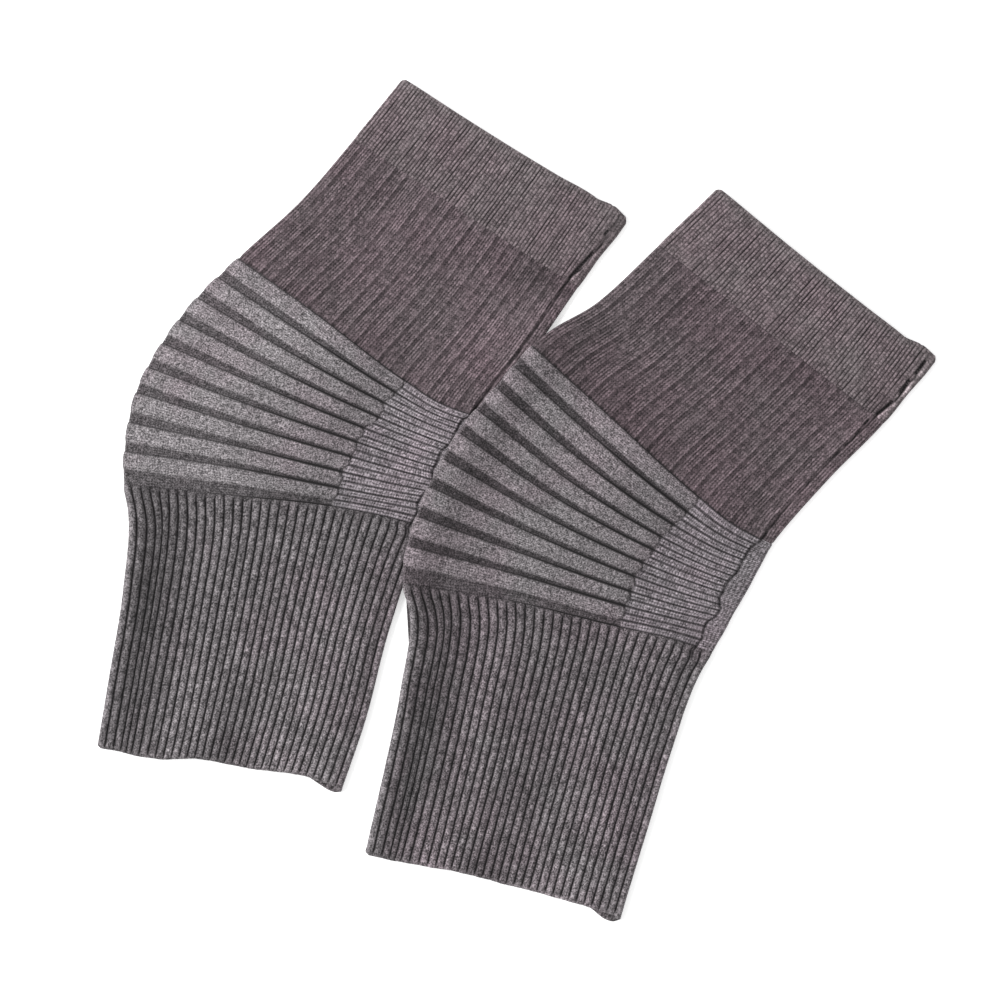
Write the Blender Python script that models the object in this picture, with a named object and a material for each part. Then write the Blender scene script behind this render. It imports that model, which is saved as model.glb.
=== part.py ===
"""A pair of knitted knee warmers laid flat on a surface, the right one partly over the left one.

Each warmer is a knitted tube pressed flat, so it lies double, and its front and back folds are round. It
is built in five zones from the thigh to the calf, each a closed wall of its own: a thigh cuff, a thigh
sleeve, a fan of raised bands over the kneecap, a ribbed panel behind the knee, and a calf sleeve. Lengths
are millimetres until the meshes are made. +X is across the pair, +Y towards the thighs, +Z up, and the
surface is at Z = 0.

A place on a warmer has two coordinates. Down is the length from the thigh opening, in millimetres along
the middle. Round is the way about the tube: 0 at the front fold, over the upper layer to 1 at the back
fold, then under it to 2, which is the front fold again.
"""

import bpy
import numpy as np

MM = 0.001

# The cloth. A wall is the plain thickness of one layer, and the ribs stand on it.
WALL = 1.3
LAYER_GAP = 0.6
SEAM_GAP = 0.3
FAN_END_GAP = 0.4
FOLD_RADIUS = WALL + LAYER_GAP / 2
LOFT = 0.8
LOFT_EDGE = 14.0
PRESSED_EDGE = 42.0
KNEE_LOFT = 0.5

# Where the upper warmer climbs over the lower one's back fold. Their edges cross at two places, given as
# the lower one's lengths down, and the climb dies out past them.
STACK_HEIGHT = 4.3
CLIMB = 22.0
CROSSINGS = (72.0, 248.0)
CROSSING_FADE = 40.0

# Counts on one side of a warmer, and how far each kind of rib stands out. A valley lies on each fold.
CUFF_RIBS, CUFF_RIB = 78, 0.35
THIGH_RIBS, THIGH_RIB, THIGH_FLAT = 20, 0.3, 0.72
CALF_RIBS, CALF_RIB = 33, 0.8
BAND_RIBS, LAST_BAND_RIBS, BACK_RIB = 2, 3, 0.5

# The fan's bands: their rise at the front and at their ends, and from which share across it sinks. Then, as
# parts of a band's pitch, its steep upper edge and its fall, and how far its slope down lifts the groove.
BANDS, BAND_RISE, BAND_END_RISE, BAND_SINKS = 9, 1.3, 0.5, 0.3
BAND_EDGE, BAND_FALL, GROOVE_LIFT = 0.09, 0.09, 0.22
BAND_CREST, BAND_DOME = 0.4, 0.18
FOLD_FLATTENS, FLAT_FOLD = 0.5, 0.05
FAN_END = 0.687
LIGHT_SHARE_FRONT, LIGHT_SHARE_END = 0.71, 0.87
LAST_BAND_SHARE = 0.8

# The cuff's strip at the back seam stands past the rest of its edge, and so does the hem's lower layer near
# the back fold: how far, between which shares across it comes out, and what part of it is left at the fold.
STRIP_RISE, STRIP_SPAN, STRIP_LEFT = 3.3, (0.865, 0.955), 0.73
HEM_PEEK, PEEK_SPAN, PEEK_LEFT = 3.0, (0.87, 0.96), 0.45
CORNER_SPAN = (0.968, 1.0)
UPPER_CORNER_SPAN = (0.985, 1.0)

# The pair's middle, taken off so that the origin is under the middle of its box.
MIDDLE_X, MIDDLE_Y = 0.23, 0.5

# Lines across a warmer, from its front fold to its back fold, and how far each bows towards the calf
# at 0.35, 0.69 and 0.86 of the way: name, front x, front y, back x, back y, and the three bows.
OVER_LINES = (
    ("cuff_top", 101.8, 156.3, 208.1, 69.4, 0.3, -0.4, -1.0),
    ("cuff_end", 71.8, 127.5, 184.3, 38.5, 0.3, 0.5, 0.3),
    ("thigh_middle", 42.1, 99.7, 156.8, 10.5, 0.6, 1.0, 0.8),
    ("band_1", 8.3, 77.0, 128.3, -22.5, 2.3, 4.6, 4.4),
    ("band_3", -9.8, 56.5, 122.3, -33.0, 6.2, 7.3, 5.0),
    ("band_5", -28.3, 34.0, 116.3, -44.0, 5.8, 5.7, 3.5),
    ("band_7", -43.3, 7.0, 110.3, -54.5, 2.9, 3.7, 2.3),
    ("band_9", -53.8, -22.5, 104.3, -65.5, -0.2, 0.8, 0.5),
    ("calf_top", -56.3, -41.5, 98.3, -76.0, -3.0, -2.0, -2.0),
    ("calf_start", -53.0, -54.0, 92.3, -86.0, -2.6, -1.8, -1.6),
    ("calf_middle", -57.0, -95.0, 77.3, -126.5, -1.2, -1.5, -1.0),
    ("calf_low", -64.7, -132.5, 65.8, -164.0, -0.8, -1.5, -1.0),
    ("hem", -75.0, -177.2, 52.3, -208.4, -1.0, -2.2, -2.0),
)
UNDER_LINES = (
    ("cuff_top", -55.9, 211.0, 53.4, 138.5, -0.5, -2.1, -3.4),
    ("cuff_end", -80.8, 180.5, 31.3, 106.5, 0.3, 0.8, 0.5),
    ("thigh_middle", -107.3, 149.8, 8.3, 73.5, 0.5, 1.5, 1.5),
    ("band_1", -138.8, 121.0, -16.8, 41.0, 2.0, 5.2, 5.0),
    ("band_3", -159.2, 101.4, -22.3, 30.0, 2.9, 3.6, 2.6),
    ("band_5", -176.8, 78.6, -27.8, 19.0, 1.6, 2.0, 1.4),
    ("band_7", -189.8, 54.0, -33.3, 8.0, 0.8, 0.7, 0.5),
    ("band_9", -195.6, 24.5, -38.8, -3.0, -1.5, -0.4, 0.0),
    ("calf_top", -195.9, 8.0, -44.3, -14.0, -2.0, -3.8, -2.6),
    ("calf_start", -193.6, -5.0, -50.3, -26.5, -1.8, -3.0, -2.2),
    ("calf_middle", -196.0, -45.0, -63.8, -65.5, -1.2, -1.6, -1.2),
    ("calf_low", -203.2, -90.0, -75.8, -111.0, -0.8, -1.6, -1.2),
    ("hem", -208.9, -123.8, -87.3, -144.4, -1.0, -3.2, -3.2),
)
BOW_PLACES = (0.0, 0.35, 0.69, 0.86, 1.0)

# Soft ridges and troughs in the upper layer: name, from x, y to x, y, half the width, and the rise.
OVER_FOLDS = (
    ("calf_front_trough", -43.0, -52.0, -53.0, -160.0, 6.0, -0.8),
    ("calf_front_ridge", -30.0, -60.0, -40.0, -165.0, 8.0, 0.6),
    ("hem_dip", -8.0, -150.0, -14.0, -192.0, 8.0, -0.6),
    ("calf_back_trough", 62.0, -142.0, 50.0, -200.0, 6.0, -0.6),
    ("thigh_ridge", 120.0, 78.0, 86.0, 36.0, 12.0, 0.6),
    ("thigh_back_trough", 150.0, 30.0, 118.0, -4.0, 8.0, -0.5),
)
UNDER_FOLDS = (
    ("calf_front_trough", -183.0, -10.0, -195.0, -102.0, 6.0, -0.8),
    ("calf_front_ridge", -170.0, -18.0, -180.0, -100.0, 8.0, 0.7),
    ("hem_dip", -132.0, -92.0, -144.0, -134.0, 8.0, -0.7),
    ("calf_back_trough", -74.0, -66.0, -86.0, -130.0, 6.0, -0.6),
    ("thigh_ridge", -30.0, 138.0, -52.0, 98.0, 11.0, 0.7),
    ("thigh_back_trough", 2.0, 118.0, -18.0, 86.0, 8.0, -0.5),
)

# The zones: name, between which lines, between which places round the tube, and colour.
ZONES = (
    ("thigh_cuff", "cuff_top", "cuff_end", 0.0, 2.0, (0.150, 0.130, 0.137)),
    ("thigh_sleeve", "cuff_end", "band_1", 0.0, 2.0, (0.112, 0.090, 0.097)),
    ("knee_fan", "band_1", "calf_top", -FAN_END, FAN_END, (0.160, 0.142, 0.150)),
    ("knee_back", "band_1", "calf_top", FAN_END, 2.0 - FAN_END, (0.178, 0.156, 0.168)),
    ("calf_sleeve", "calf_top", "hem", 0.0, 2.0, (0.108, 0.100, 0.106)),
)

# Columns of the plain surfaces: close round the folds, where a warmer bends over the other, and where the
# lines across bow most.
FOLD_STEPS = (0.0, 0.004, 0.009, 0.016)
FRONT_STEPS = (0.06, 0.12, 0.19, 0.26)
DRAPED_STEPS = (0.035, 0.06, 0.09, 0.12, 0.15, 0.18, 0.21, 0.24, 0.28)
MIDDLE_STEPS = (0.33, 0.41, 0.49, 0.56, 0.62)
BACK_STEPS = (0.74, 0.79, 0.83, 0.865, 0.9, 0.93, 0.96)
CUFF_PHASES, THIGH_PHASES, CALF_PHASES = (0.0, 0.5), (0.0, 0.14, 0.86), (0.0, 0.25, 0.75)
ROW_STEP = 22.0
INNER_ROW_STEP = 18.0

# The knee's loft comes in from before to after its upper edge, and dies out before its lower one.
KNEE_BEFORE, KNEE_AFTER, KNEE_FADE = 30.0, 20.0, 40.0
FOLD_EDGE_POINTS = 400

ROUGHNESS = 0.95


def smooth(low, high, value):
    """0 below low, 1 above high, and an easy curve between."""
    part = np.clip((value - low) / (high - low), 0.0, 1.0)
    return part * part * (3.0 - 2.0 * part)


def curve_through(knots, values, at):
    """The smooth curve through values at knots, read at the places at. Values may have columns."""
    knots = np.asarray(knots, float)
    values = np.asarray(values, float)
    steps = np.diff(knots)
    spans = steps.reshape((-1,) + (1,) * (values.ndim - 1))
    slopes = np.diff(values, axis=0) / spans
    inner = (slopes[:-1] * spans[1:] + slopes[1:] * spans[:-1]) / (spans[1:] + spans[:-1])
    tangents = np.concatenate([slopes[:1], inner, slopes[-1:]])
    at = np.asarray(at, float)
    piece = np.clip(np.searchsorted(knots, at, side="right") - 1, 0, len(steps) - 1)
    wide = at.shape + (1,) * (values.ndim - 1)
    step = steps[piece].reshape(wide)
    part = (at - knots[piece]).reshape(wide) / step
    rest = 1.0 - part
    return (
        values[piece] * (1.0 + 2.0 * part) * rest**2
        + tangents[piece] * step * part * rest**2
        + values[piece + 1] * (1.0 + 2.0 * rest) * part**2
        - tangents[piece + 1] * step * rest * part**2
    )


class Warmer:
    """One warmer: its lines across, its folds, and what it lies on."""

    def __init__(self, name, lines, folds, lies_on=None):
        self.name = name
        self.folds = folds
        self.lies_on = lies_on
        self.table = np.array([line[1:] for line in lines])
        front, back = self.table[:, 0:2], self.table[:, 2:4]
        lengths = (np.hypot(*np.diff(front, axis=0).T) + np.hypot(*np.diff(back, axis=0).T)) / 2.0
        self.knots = np.concatenate([[0.0], np.cumsum(lengths)])
        self.down = {line[0]: knot for line, knot in zip(lines, self.knots)}
        self.bands = self.band_lines()
        self.back_fold = curve_through(self.knots, back, np.linspace(0.0, self.knots[-1], FOLD_EDGE_POINTS))

    def band_lines(self):
        """Down at the upper edge of each band of the fan, and at the calf sleeve's top last."""
        odd = [self.down[f"band_{number}"] for number in range(1, BANDS + 1, 2)]
        places = np.interp(np.arange(BANDS), np.arange(0, BANDS, 2), odd)
        return np.append(places, self.down["calf_top"])

    def place(self, down, across):
        """X and Y of a place on the flat shape, the way across it, and the flat width there."""
        row = curve_through(self.knots, self.table, down)
        front, back = row[..., 0:2], row[..., 2:4]
        span = back - front
        width = np.hypot(span[..., 0], span[..., 1])
        way = span / width[..., None]
        to_calf = np.stack([way[..., 1], -way[..., 0]], axis=-1)
        unit_bows = np.vstack([np.zeros(3), np.eye(3), np.zeros(3)])
        bow = (curve_through(BOW_PLACES, unit_bows, across) * row[..., 4:7]).sum(axis=-1)
        return front + span * across[..., None] + to_calf * bow[..., None], way, width

    def stretch(self, down, across):
        """Millimetres of cloth for each millimetre of down, at a place across."""
        ahead = self.place(down + 0.5, across)[0]
        behind = self.place(down - 0.5, across)[0]
        return np.hypot(*np.moveaxis(ahead - behind, -1, 0))

    def ground(self, spots):
        """Height of what the cloth lies on: the surface, or the other warmer where it overlaps that."""
        if self.lies_on is None:
            return np.zeros(spots.shape[:-1])
        edge = self.lies_on.back_fold
        flat = spots.reshape(-1, 2)
        gaps = flat[:, None, :] - edge[None, :, :]
        nearest = np.argmin((gaps**2).sum(axis=-1), axis=1)
        along = np.gradient(edge, axis=0)[nearest]
        offset = gaps[np.arange(len(flat)), nearest]
        outside = (along[:, 0] * offset[:, 1] - along[:, 1] * offset[:, 0]) / np.hypot(*along.T)
        down = nearest * self.lies_on.knots[-1] / (len(edge) - 1)
        first, last = CROSSINGS
        beside = smooth(first - CROSSING_FADE, first, down) * smooth(last + CROSSING_FADE, last, down)
        climb = smooth(-CLIMB, 0.0, -outside)
        return (STACK_HEIGHT * climb * beside).reshape(spots.shape[:-1])

    def loft(self, spots, down, from_front, from_back):
        """How far the upper layer stands off its lowest place, with its ridges and troughs."""
        back_edge = LOFT_EDGE if self.lies_on else PRESSED_EDGE
        window = smooth(0.0, LOFT_EDGE, from_front) * smooth(0.0, back_edge, from_back)
        knee_start, knee_end = self.down["band_1"], self.down["calf_top"]
        knee = smooth(knee_start - KNEE_BEFORE, knee_start + KNEE_AFTER, down)
        knee = knee * smooth(knee_end, knee_end - KNEE_FADE, down)
        rise = LOFT + KNEE_LOFT * knee
        for _, from_x, from_y, to_x, to_y, half_width, height in self.folds:
            start = np.array([from_x, from_y])
            way = np.array([to_x, to_y]) - start
            length = np.hypot(*way)
            way = way / length
            along = (spots - start) @ way
            aside = (spots[..., 0] - from_x) * way[1] - (spots[..., 1] - from_y) * way[0]
            ends = smooth(-half_width, half_width, along) * smooth(-half_width, half_width, length - along)
            rise = rise + height * ends * np.exp(-((aside / half_width) ** 2))
        return window * rise


def around(round_place):
    """(share of the way across from the front fold, whether on the lower layer) of a place round."""
    lower = (round_place < 0.0) | (round_place > 1.0)
    share = np.where(round_place > 1.0, 2.0 - round_place, np.abs(round_place))
    return share, lower


def outer_points(warmer, down, round_place, relief):
    """Points of the cloth's outer side, moved out by the relief."""
    share, lower = around(round_place)
    _, _, width = warmer.place(down, share)
    length = width - 2.0 * FOLD_RADIUS + np.pi * FOLD_RADIUS
    return points_at(warmer, down, share * length, length, lower, FOLD_RADIUS, 0.0, relief)


def inner_points(warmer, down, round_place):
    """Points of the cloth's inner side, a wall's thickness in."""
    share, lower = around(round_place)
    _, _, width = warmer.place(down, share)
    radius = FOLD_RADIUS - WALL
    length = width - 2.0 * WALL - 2.0 * radius + np.pi * radius
    return points_at(warmer, down, share * length, length, lower, radius, WALL, np.zeros_like(down))


def points_at(warmer, down, walked, length, lower, radius, inset, relief):
    """Points at a walked length from the front fold's tip, over a fold of the radius set in by inset."""
    quarter = np.pi * radius / 2.0
    from_tip = np.minimum(walked, length - walked)
    angle = np.clip(from_tip / radius, 0.0, np.pi / 2.0)
    reach = np.where(from_tip < quarter, radius * (1.0 - np.cos(angle)), radius + from_tip - quarter)
    half = np.where(from_tip < quarter, radius * np.sin(angle), radius)
    at_front = walked <= length / 2.0
    _, _, width = warmer.place(down, np.zeros_like(down))
    from_front = np.where(at_front, inset + reach, width - inset - reach)
    spots, way, _ = warmer.place(down, from_front / width)
    rise = warmer.loft(spots, down, from_front, width - from_front)
    ground = warmer.ground(spots)
    side = np.where(lower, -1.0, 1.0)
    height = ground + FOLD_RADIUS + side * half + np.where(lower, 0.0, rise)
    # Ribs stand out square to the cloth, and fade as a fold turns under.
    upright = half / radius
    fade = np.where(lower, 1.0 - upright, 1.0)
    outward = np.where(at_front, -1.0, 1.0) * np.sqrt(np.clip(1.0 - upright**2, 0.0, 1.0))
    spots = spots + way * (relief * fade * outward)[..., None]
    height = height + relief * fade * upright * side
    return np.concatenate([spots, height[..., None]], axis=-1)


def round_rib(phase):
    """Height of a rounded rib: 0 in the valley at phase 0, 1 at its crest at one half."""
    return np.sqrt(np.clip(np.sin(np.pi * (phase % 1.0)), 0.0, 1.0))


def grooved(phase):
    """Height of a wide flat rib with a narrow groove at phase 0."""
    part = np.abs((phase % 1.0) - 0.5) * 2.0
    return 1.0 - smooth(THIGH_FLAT, 1.0, part)


def light_share(share):
    """How much of a band's pitch its raised part takes."""
    return LIGHT_SHARE_FRONT + (LIGHT_SHARE_END - LIGHT_SHARE_FRONT) * np.clip(share / FAN_END, 0.0, 1.0)


def band_height(phase, light):
    """A raised band: steep at its upper edge, domed, then a slope down into the dark groove."""
    up = smooth(0.0, BAND_EDGE, phase)
    dome = 1.0 - BAND_DOME * ((phase - BAND_CREST * light) / light) ** 2
    down = 1.0 - smooth(light, light + BAND_FALL, phase)
    groove = GROOVE_LIFT * (1.0 - smooth(light, 1.0, phase))
    return up * (dome * down + groove * (1.0 - down))


def band_phase(warmer, down):
    """(band number, phase in it) at each length down the knee."""
    band = np.clip(np.searchsorted(warmer.bands, down, side="right") - 1, 0, BANDS - 1)
    start, end = warmer.bands[band], warmer.bands[band + 1]
    return band, np.clip((down - start) / (end - start), 0.0, 1.0)


def fan_relief(warmer, down, round_place):
    share, _ = around(round_place)
    band, phase = band_phase(warmer, down)
    light = light_share(share) * np.where(band == BANDS - 1, LAST_BAND_SHARE, 1.0)
    rise = BAND_RISE + (BAND_END_RISE - BAND_RISE) * smooth(BAND_SINKS, FAN_END, share)
    return rise * (1.0 - FOLD_FLATTENS * smooth(FLAT_FOLD, 0.0, share)) * band_height(phase, light)


def back_relief(warmer, down, round_place):
    band, phase = band_phase(warmer, down)
    return BACK_RIB * round_rib(phase * np.where(band == BANDS - 1, LAST_BAND_RIBS, BAND_RIBS))


def cuff_relief(warmer, down, round_place):
    return CUFF_RIB * round_rib(around(round_place)[0] * CUFF_RIBS)


def thigh_relief(warmer, down, round_place):
    return THIGH_RIB * grooved(around(round_place)[0] * THIGH_RIBS)


def calf_relief(warmer, down, round_place):
    return CALF_RIB * round_rib(around(round_place)[0] * CALF_RIBS)


def rib_columns(count, phases):
    """Places from the front fold to the back fold at the given phases of each rib, folds included."""
    places = [(rib + phase) / count for rib in range(count) for phase in phases]
    inside = [place for place in places if 1e-6 < place < 1.0 - 1e-6]
    return np.array([0.0] + inside + [1.0])


def plain_columns(draped):
    """Places from the front fold to the back fold for a surface without ribs."""
    front = FOLD_STEPS + (DRAPED_STEPS if draped else FRONT_STEPS) + MIDDLE_STEPS
    back = BACK_STEPS + tuple(1.0 - step for step in reversed(FOLD_STEPS))
    return np.array(front + (FAN_END,) + back)


def under_half(places):
    """The same places on the lower layer, walked from the back fold to the front fold."""
    return 2.0 - places[::-1][1:-1]


def zone_columns(zone_name, draped, inner):
    """Places round the tube for a zone's outer or inner side, in walking order."""
    plain = plain_columns(draped)
    lower = under_half(plain)
    ribs = {
        "thigh_cuff": lambda: rib_columns(CUFF_RIBS, CUFF_PHASES),
        "thigh_sleeve": lambda: rib_columns(THIGH_RIBS, THIGH_PHASES),
        "calf_sleeve": lambda: rib_columns(CALF_RIBS, CALF_PHASES),
    }
    if zone_name in ribs:
        upper = plain if inner else ribs[zone_name]()
        return np.concatenate([upper, lower])
    if zone_name == "knee_fan":
        side = plain[plain <= FAN_END]
        return np.concatenate([-side[::-1][:-1], side])
    side = plain[plain >= FAN_END]
    return np.concatenate([side, 2.0 - side[::-1][1:]])


def fan_rows(warmer, share):
    """Down at each row of the fan, for each share across: four rows to a band, then the calf's edge."""
    light = light_share(share)
    rows = []
    for band in range(BANDS):
        start, end = warmer.bands[band], warmer.bands[band + 1]
        raised = light * (LAST_BAND_SHARE if band == BANDS - 1 else 1.0)
        for phase in (np.zeros_like(share), np.full_like(share, BAND_EDGE), raised, raised + BAND_FALL):
            rows.append(start + (end - start) * phase)
    rows.append(np.full_like(share, warmer.bands[-1]))
    return np.array(rows)


def back_rows(warmer):
    """Down at each valley and crest of the ribs behind the knee."""
    rows = []
    for band in range(BANDS):
        ribs = LAST_BAND_RIBS if band == BANDS - 1 else BAND_RIBS
        rows.append(np.linspace(warmer.bands[band], warmer.bands[band + 1], 2 * ribs, endpoint=False))
    return np.append(np.concatenate(rows), warmer.bands[-1])


def zone_rows(warmer, zone, share, inner):
    """Down at each row of a zone's outer or inner side, for each share across."""
    name, from_line, to_line = zone[:3]
    if name == "knee_fan" and not inner:
        return fan_rows(warmer, share)
    start, end = warmer.down[from_line], warmer.down[to_line]
    steps = round((end - start) / (INNER_ROW_STEP if inner else ROW_STEP))
    rows = np.linspace(start, end, max(2, steps) + 1)
    if name == "knee_back" and not inner:
        rows = back_rows(warmer)
    return np.repeat(rows[:, None], len(share), axis=1)


def grid(warmer, zone, inner):
    """(down, round) of every point of a zone's outer or inner side, pulled in by half a seam's gap."""
    name, from_line, to_line, from_round, to_round, _ = zone
    columns = zone_columns(name, warmer.lies_on is not None, inner)
    share, _ = around(columns)
    down = zone_rows(warmer, zone, share, inner)
    place = np.broadcast_to(columns, down.shape).copy()
    pull = SEAM_GAP / 2.0
    if from_line != "cuff_top":
        down[0] += pull / warmer.stretch(down[0], share)
    if to_line != "hem":
        down[-1] -= pull / warmer.stretch(down[-1], share)
    if to_round - from_round < 2.0:
        width = warmer.place(down, np.broadcast_to(share, down.shape))[2]
        place[:, 0] += FAN_END_GAP / 2.0 / width[:, 0]
        place[:, -1] -= FAN_END_GAP / 2.0 / width[:, -1]
    return down, place


def let_out(share, span, left):
    """How far out an edge is, as a part of the most: it comes out over the span, then some is left."""
    return smooth(*span, share) - (1.0 - left) * smooth(*CORNER_SPAN, share)


def edge_shifts(zone_name, down, place):
    """Down after the cuff's strip and the hem's lower layer are let out past the edge."""
    share, lower = around(place)
    down = down.copy()
    if zone_name == "thigh_cuff":
        down[0] -= STRIP_RISE * let_out(share[0], STRIP_SPAN, STRIP_LEFT)
    if zone_name == "calf_sleeve":
        upper_corner = PEEK_LEFT * smooth(*UPPER_CORNER_SPAN, share[-1])
        down[-1] += HEM_PEEK * np.where(lower[-1], let_out(share[-1], PEEK_SPAN, PEEK_LEFT), upper_corner)
    return down


RELIEFS = {
    "thigh_cuff": cuff_relief,
    "thigh_sleeve": thigh_relief,
    "knee_fan": fan_relief,
    "knee_back": back_relief,
    "calf_sleeve": calf_relief,
}


def sew_strip(first, first_places, second, second_places):
    """Triangles between two runs of points that start and end together, in order of their places."""
    faces = []
    i, j = 0, 0
    while i < len(first) - 1 or j < len(second) - 1:
        can_first = i < len(first) - 1
        can_second = j < len(second) - 1
        if can_first and (not can_second or first_places[i + 1] <= second_places[j + 1]):
            faces.append((first[i], first[i + 1], second[j]))
            i += 1
        else:
            faces.append((first[i], second[j + 1], second[j]))
            j += 1
    return faces


def sheet_faces(numbers, closed):
    """Quads over a grid of point numbers, walked round when the grid is a tube."""
    faces = []
    rows, columns = numbers.shape
    for row in range(rows - 1):
        for column in range(columns if closed else columns - 1):
            after = (column + 1) % columns
            first, second = numbers[row], numbers[row + 1]
            faces.append((first[column], second[column], second[after], first[after]))
    return faces


def edge_runs(numbers, down, place, closed):
    """The runs of points along a grid's rims: its first and last row, and its two sides if it is open."""
    if closed:
        first = np.append(numbers[0], numbers[0, 0])
        last = np.append(numbers[-1], numbers[-1, 0])
        return [(first, np.append(place[0], 2.0)), (last, np.append(place[-1], 2.0))]
    span = down[:, 0] - down[0, 0]
    far = down[:, -1] - down[0, -1]
    return [
        (numbers[0], (place[0] - place[0, 0]) / (place[0, -1] - place[0, 0])),
        (numbers[-1], (place[-1] - place[-1, 0]) / (place[-1, -1] - place[-1, 0])),
        (numbers[:, 0], span / span[-1]),
        (numbers[:, -1], far / far[-1]),
    ]


def zone_mesh(warmer, zone):
    """Points and faces of one zone's wall: an outer and an inner sheet, joined along their rims."""
    name, _, _, from_round, to_round, _ = zone
    closed = to_round - from_round >= 2.0
    outer_down, outer_place = grid(warmer, zone, inner=False)
    inner_down, inner_place = grid(warmer, zone, inner=True)
    relief = RELIEFS[name](warmer, outer_down, outer_place)
    outer_down = edge_shifts(name, outer_down, outer_place)
    inner_down = edge_shifts(name, inner_down, inner_place)
    outer = outer_points(warmer, outer_down, outer_place, relief)
    inner = inner_points(warmer, inner_down, inner_place)
    outer_numbers = np.arange(outer_down.size).reshape(outer_down.shape)
    inner_numbers = outer_down.size + np.arange(inner_down.size).reshape(inner_down.shape)
    faces = sheet_faces(outer_numbers, closed)
    faces += [face[::-1] for face in sheet_faces(inner_numbers, closed)]
    outer_runs = edge_runs(outer_numbers, outer_down, outer_place, closed)
    inner_runs = edge_runs(inner_numbers, inner_down, inner_place, closed)
    flipped = (False, True, True, False)
    for (first, first_places), (second, second_places), flip in zip(outer_runs, inner_runs, flipped):
        strip = sew_strip(first, first_places, second, second_places)
        faces += [face[::-1] for face in strip] if flip else strip
    points = np.concatenate([outer.reshape(-1, 3), inner.reshape(-1, 3)])
    return points - np.array([MIDDLE_X, MIDDLE_Y, 0.0]), faces


def knit_material(name, colour):
    """A matt knit of the zone's colour."""
    material = bpy.data.materials.new(name)
    material.use_nodes = True
    shader = material.node_tree.nodes["Principled BSDF"]
    shader.inputs["Base Color"].default_value = (*colour, 1.0)
    shader.inputs["Roughness"].default_value = ROUGHNESS
    shader.inputs["Metallic"].default_value = 0.0
    return material


def add_zone(collection, warmer, zone):
    """One zone of a warmer as an object of its own."""
    points, faces = zone_mesh(warmer, zone)
    name = f"{warmer.name}_{zone[0]}"
    mesh = bpy.data.meshes.new(name)
    mesh.from_pydata((points * MM).tolist(), [], [tuple(int(number) for number in face) for face in faces])
    mesh.update()
    mesh.shade_smooth()
    mesh.materials.append(knit_material(f"{name}_knit", zone[5]))
    collection.objects.link(bpy.data.objects.new(name, mesh))


def main():
    for thing in list(bpy.data.objects):
        bpy.data.objects.remove(thing)
    collection = bpy.data.collections.new("pair_of_knee_warmers")
    bpy.context.scene.collection.children.link(collection)
    under = Warmer("under", UNDER_LINES, UNDER_FOLDS)
    over = Warmer("over", OVER_LINES, OVER_FOLDS, lies_on=under)
    for warmer in (under, over):
        for zone in ZONES:
            add_zone(collection, warmer, zone)


main()
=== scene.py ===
"""Looks of a pair of knitted knee warmers laid flat, the right one partly over the left one.

Each warmer is a knitted tube pressed flat. Its five zones are shells on the solids' own form, in the same
coordinates. Down is the length from the thigh opening, along the middle. Round is the way about the tube:
0 at the front fold, over the upper layer to 1 at the back fold, then under it to 2. A share is the part of
the way across from the front fold, on either layer. Lengths are millimetres until a mesh is made. The ribs,
bands and back seam are real relief, and the stitches are in the materials, which read where among them a
place is.
"""

import bpy
import numpy as np
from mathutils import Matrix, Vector


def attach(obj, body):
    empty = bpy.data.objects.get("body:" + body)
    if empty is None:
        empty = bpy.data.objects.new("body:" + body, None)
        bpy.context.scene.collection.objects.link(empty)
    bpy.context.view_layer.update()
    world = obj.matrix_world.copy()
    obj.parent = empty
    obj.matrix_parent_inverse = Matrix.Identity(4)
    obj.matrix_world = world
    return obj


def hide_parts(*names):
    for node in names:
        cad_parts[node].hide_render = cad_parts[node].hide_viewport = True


MM = 0.001

# The cloth, as in the solids. A wall is the plain thickness of one layer, and the ribs stand on it.
WALL = 1.3
LAYER_GAP = 0.6
FOLD_RADIUS = WALL + LAYER_GAP / 2

# How far the upper layer is lofted off its lowest place, and how far from the folds. It is more at the knee:
# that comes from before to after the knee's first line, and goes over a length before its last.
LOFT, KNEE_LOFT = 0.8, 0.5
LOFT_EDGE, PRESSED_EDGE = 14.0, 42.0
KNEE_LOFT_BEFORE, KNEE_LOFT_AFTER, KNEE_LOFT_END = 30.0, 20.0, 40.0
UNEVEN, UNEVEN_LENGTH = 0.22, 47.0

# Where the upper warmer climbs over the lower one's back fold, in the lower one's lengths down.
STACK_HEIGHT = 4.3
CLIMB = 22.0
CROSSINGS = (72.0, 248.0)
CROSSING_FADE = 40.0
BACK_FOLD_POINTS = 400

# Counts on one side of a warmer, how far each kind of rib stands out, and half the width of the painted
# shade in its valley.
CUFF_RIBS, CUFF_RIB, CUFF_VALLEY = 78, 0.45, 0.4
THIGH_RIBS, THIGH_RIB, THIGH_VALLEY = 20, 0.3, 0.6
CALF_RIBS, CALF_RIB, CALF_VALLEY = 33, 0.95, 0.5
BACK_RIB, BACK_VALLEY = 0.55, 0.6
BAND_RIBS, LAST_BAND_RIBS = 2, 3

# How square the ribs' tops are, where 2 is round.
CUFF_TOP, BACK_TOP, ROUND_TOP = 1.6, 1.9, 2.0
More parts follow.
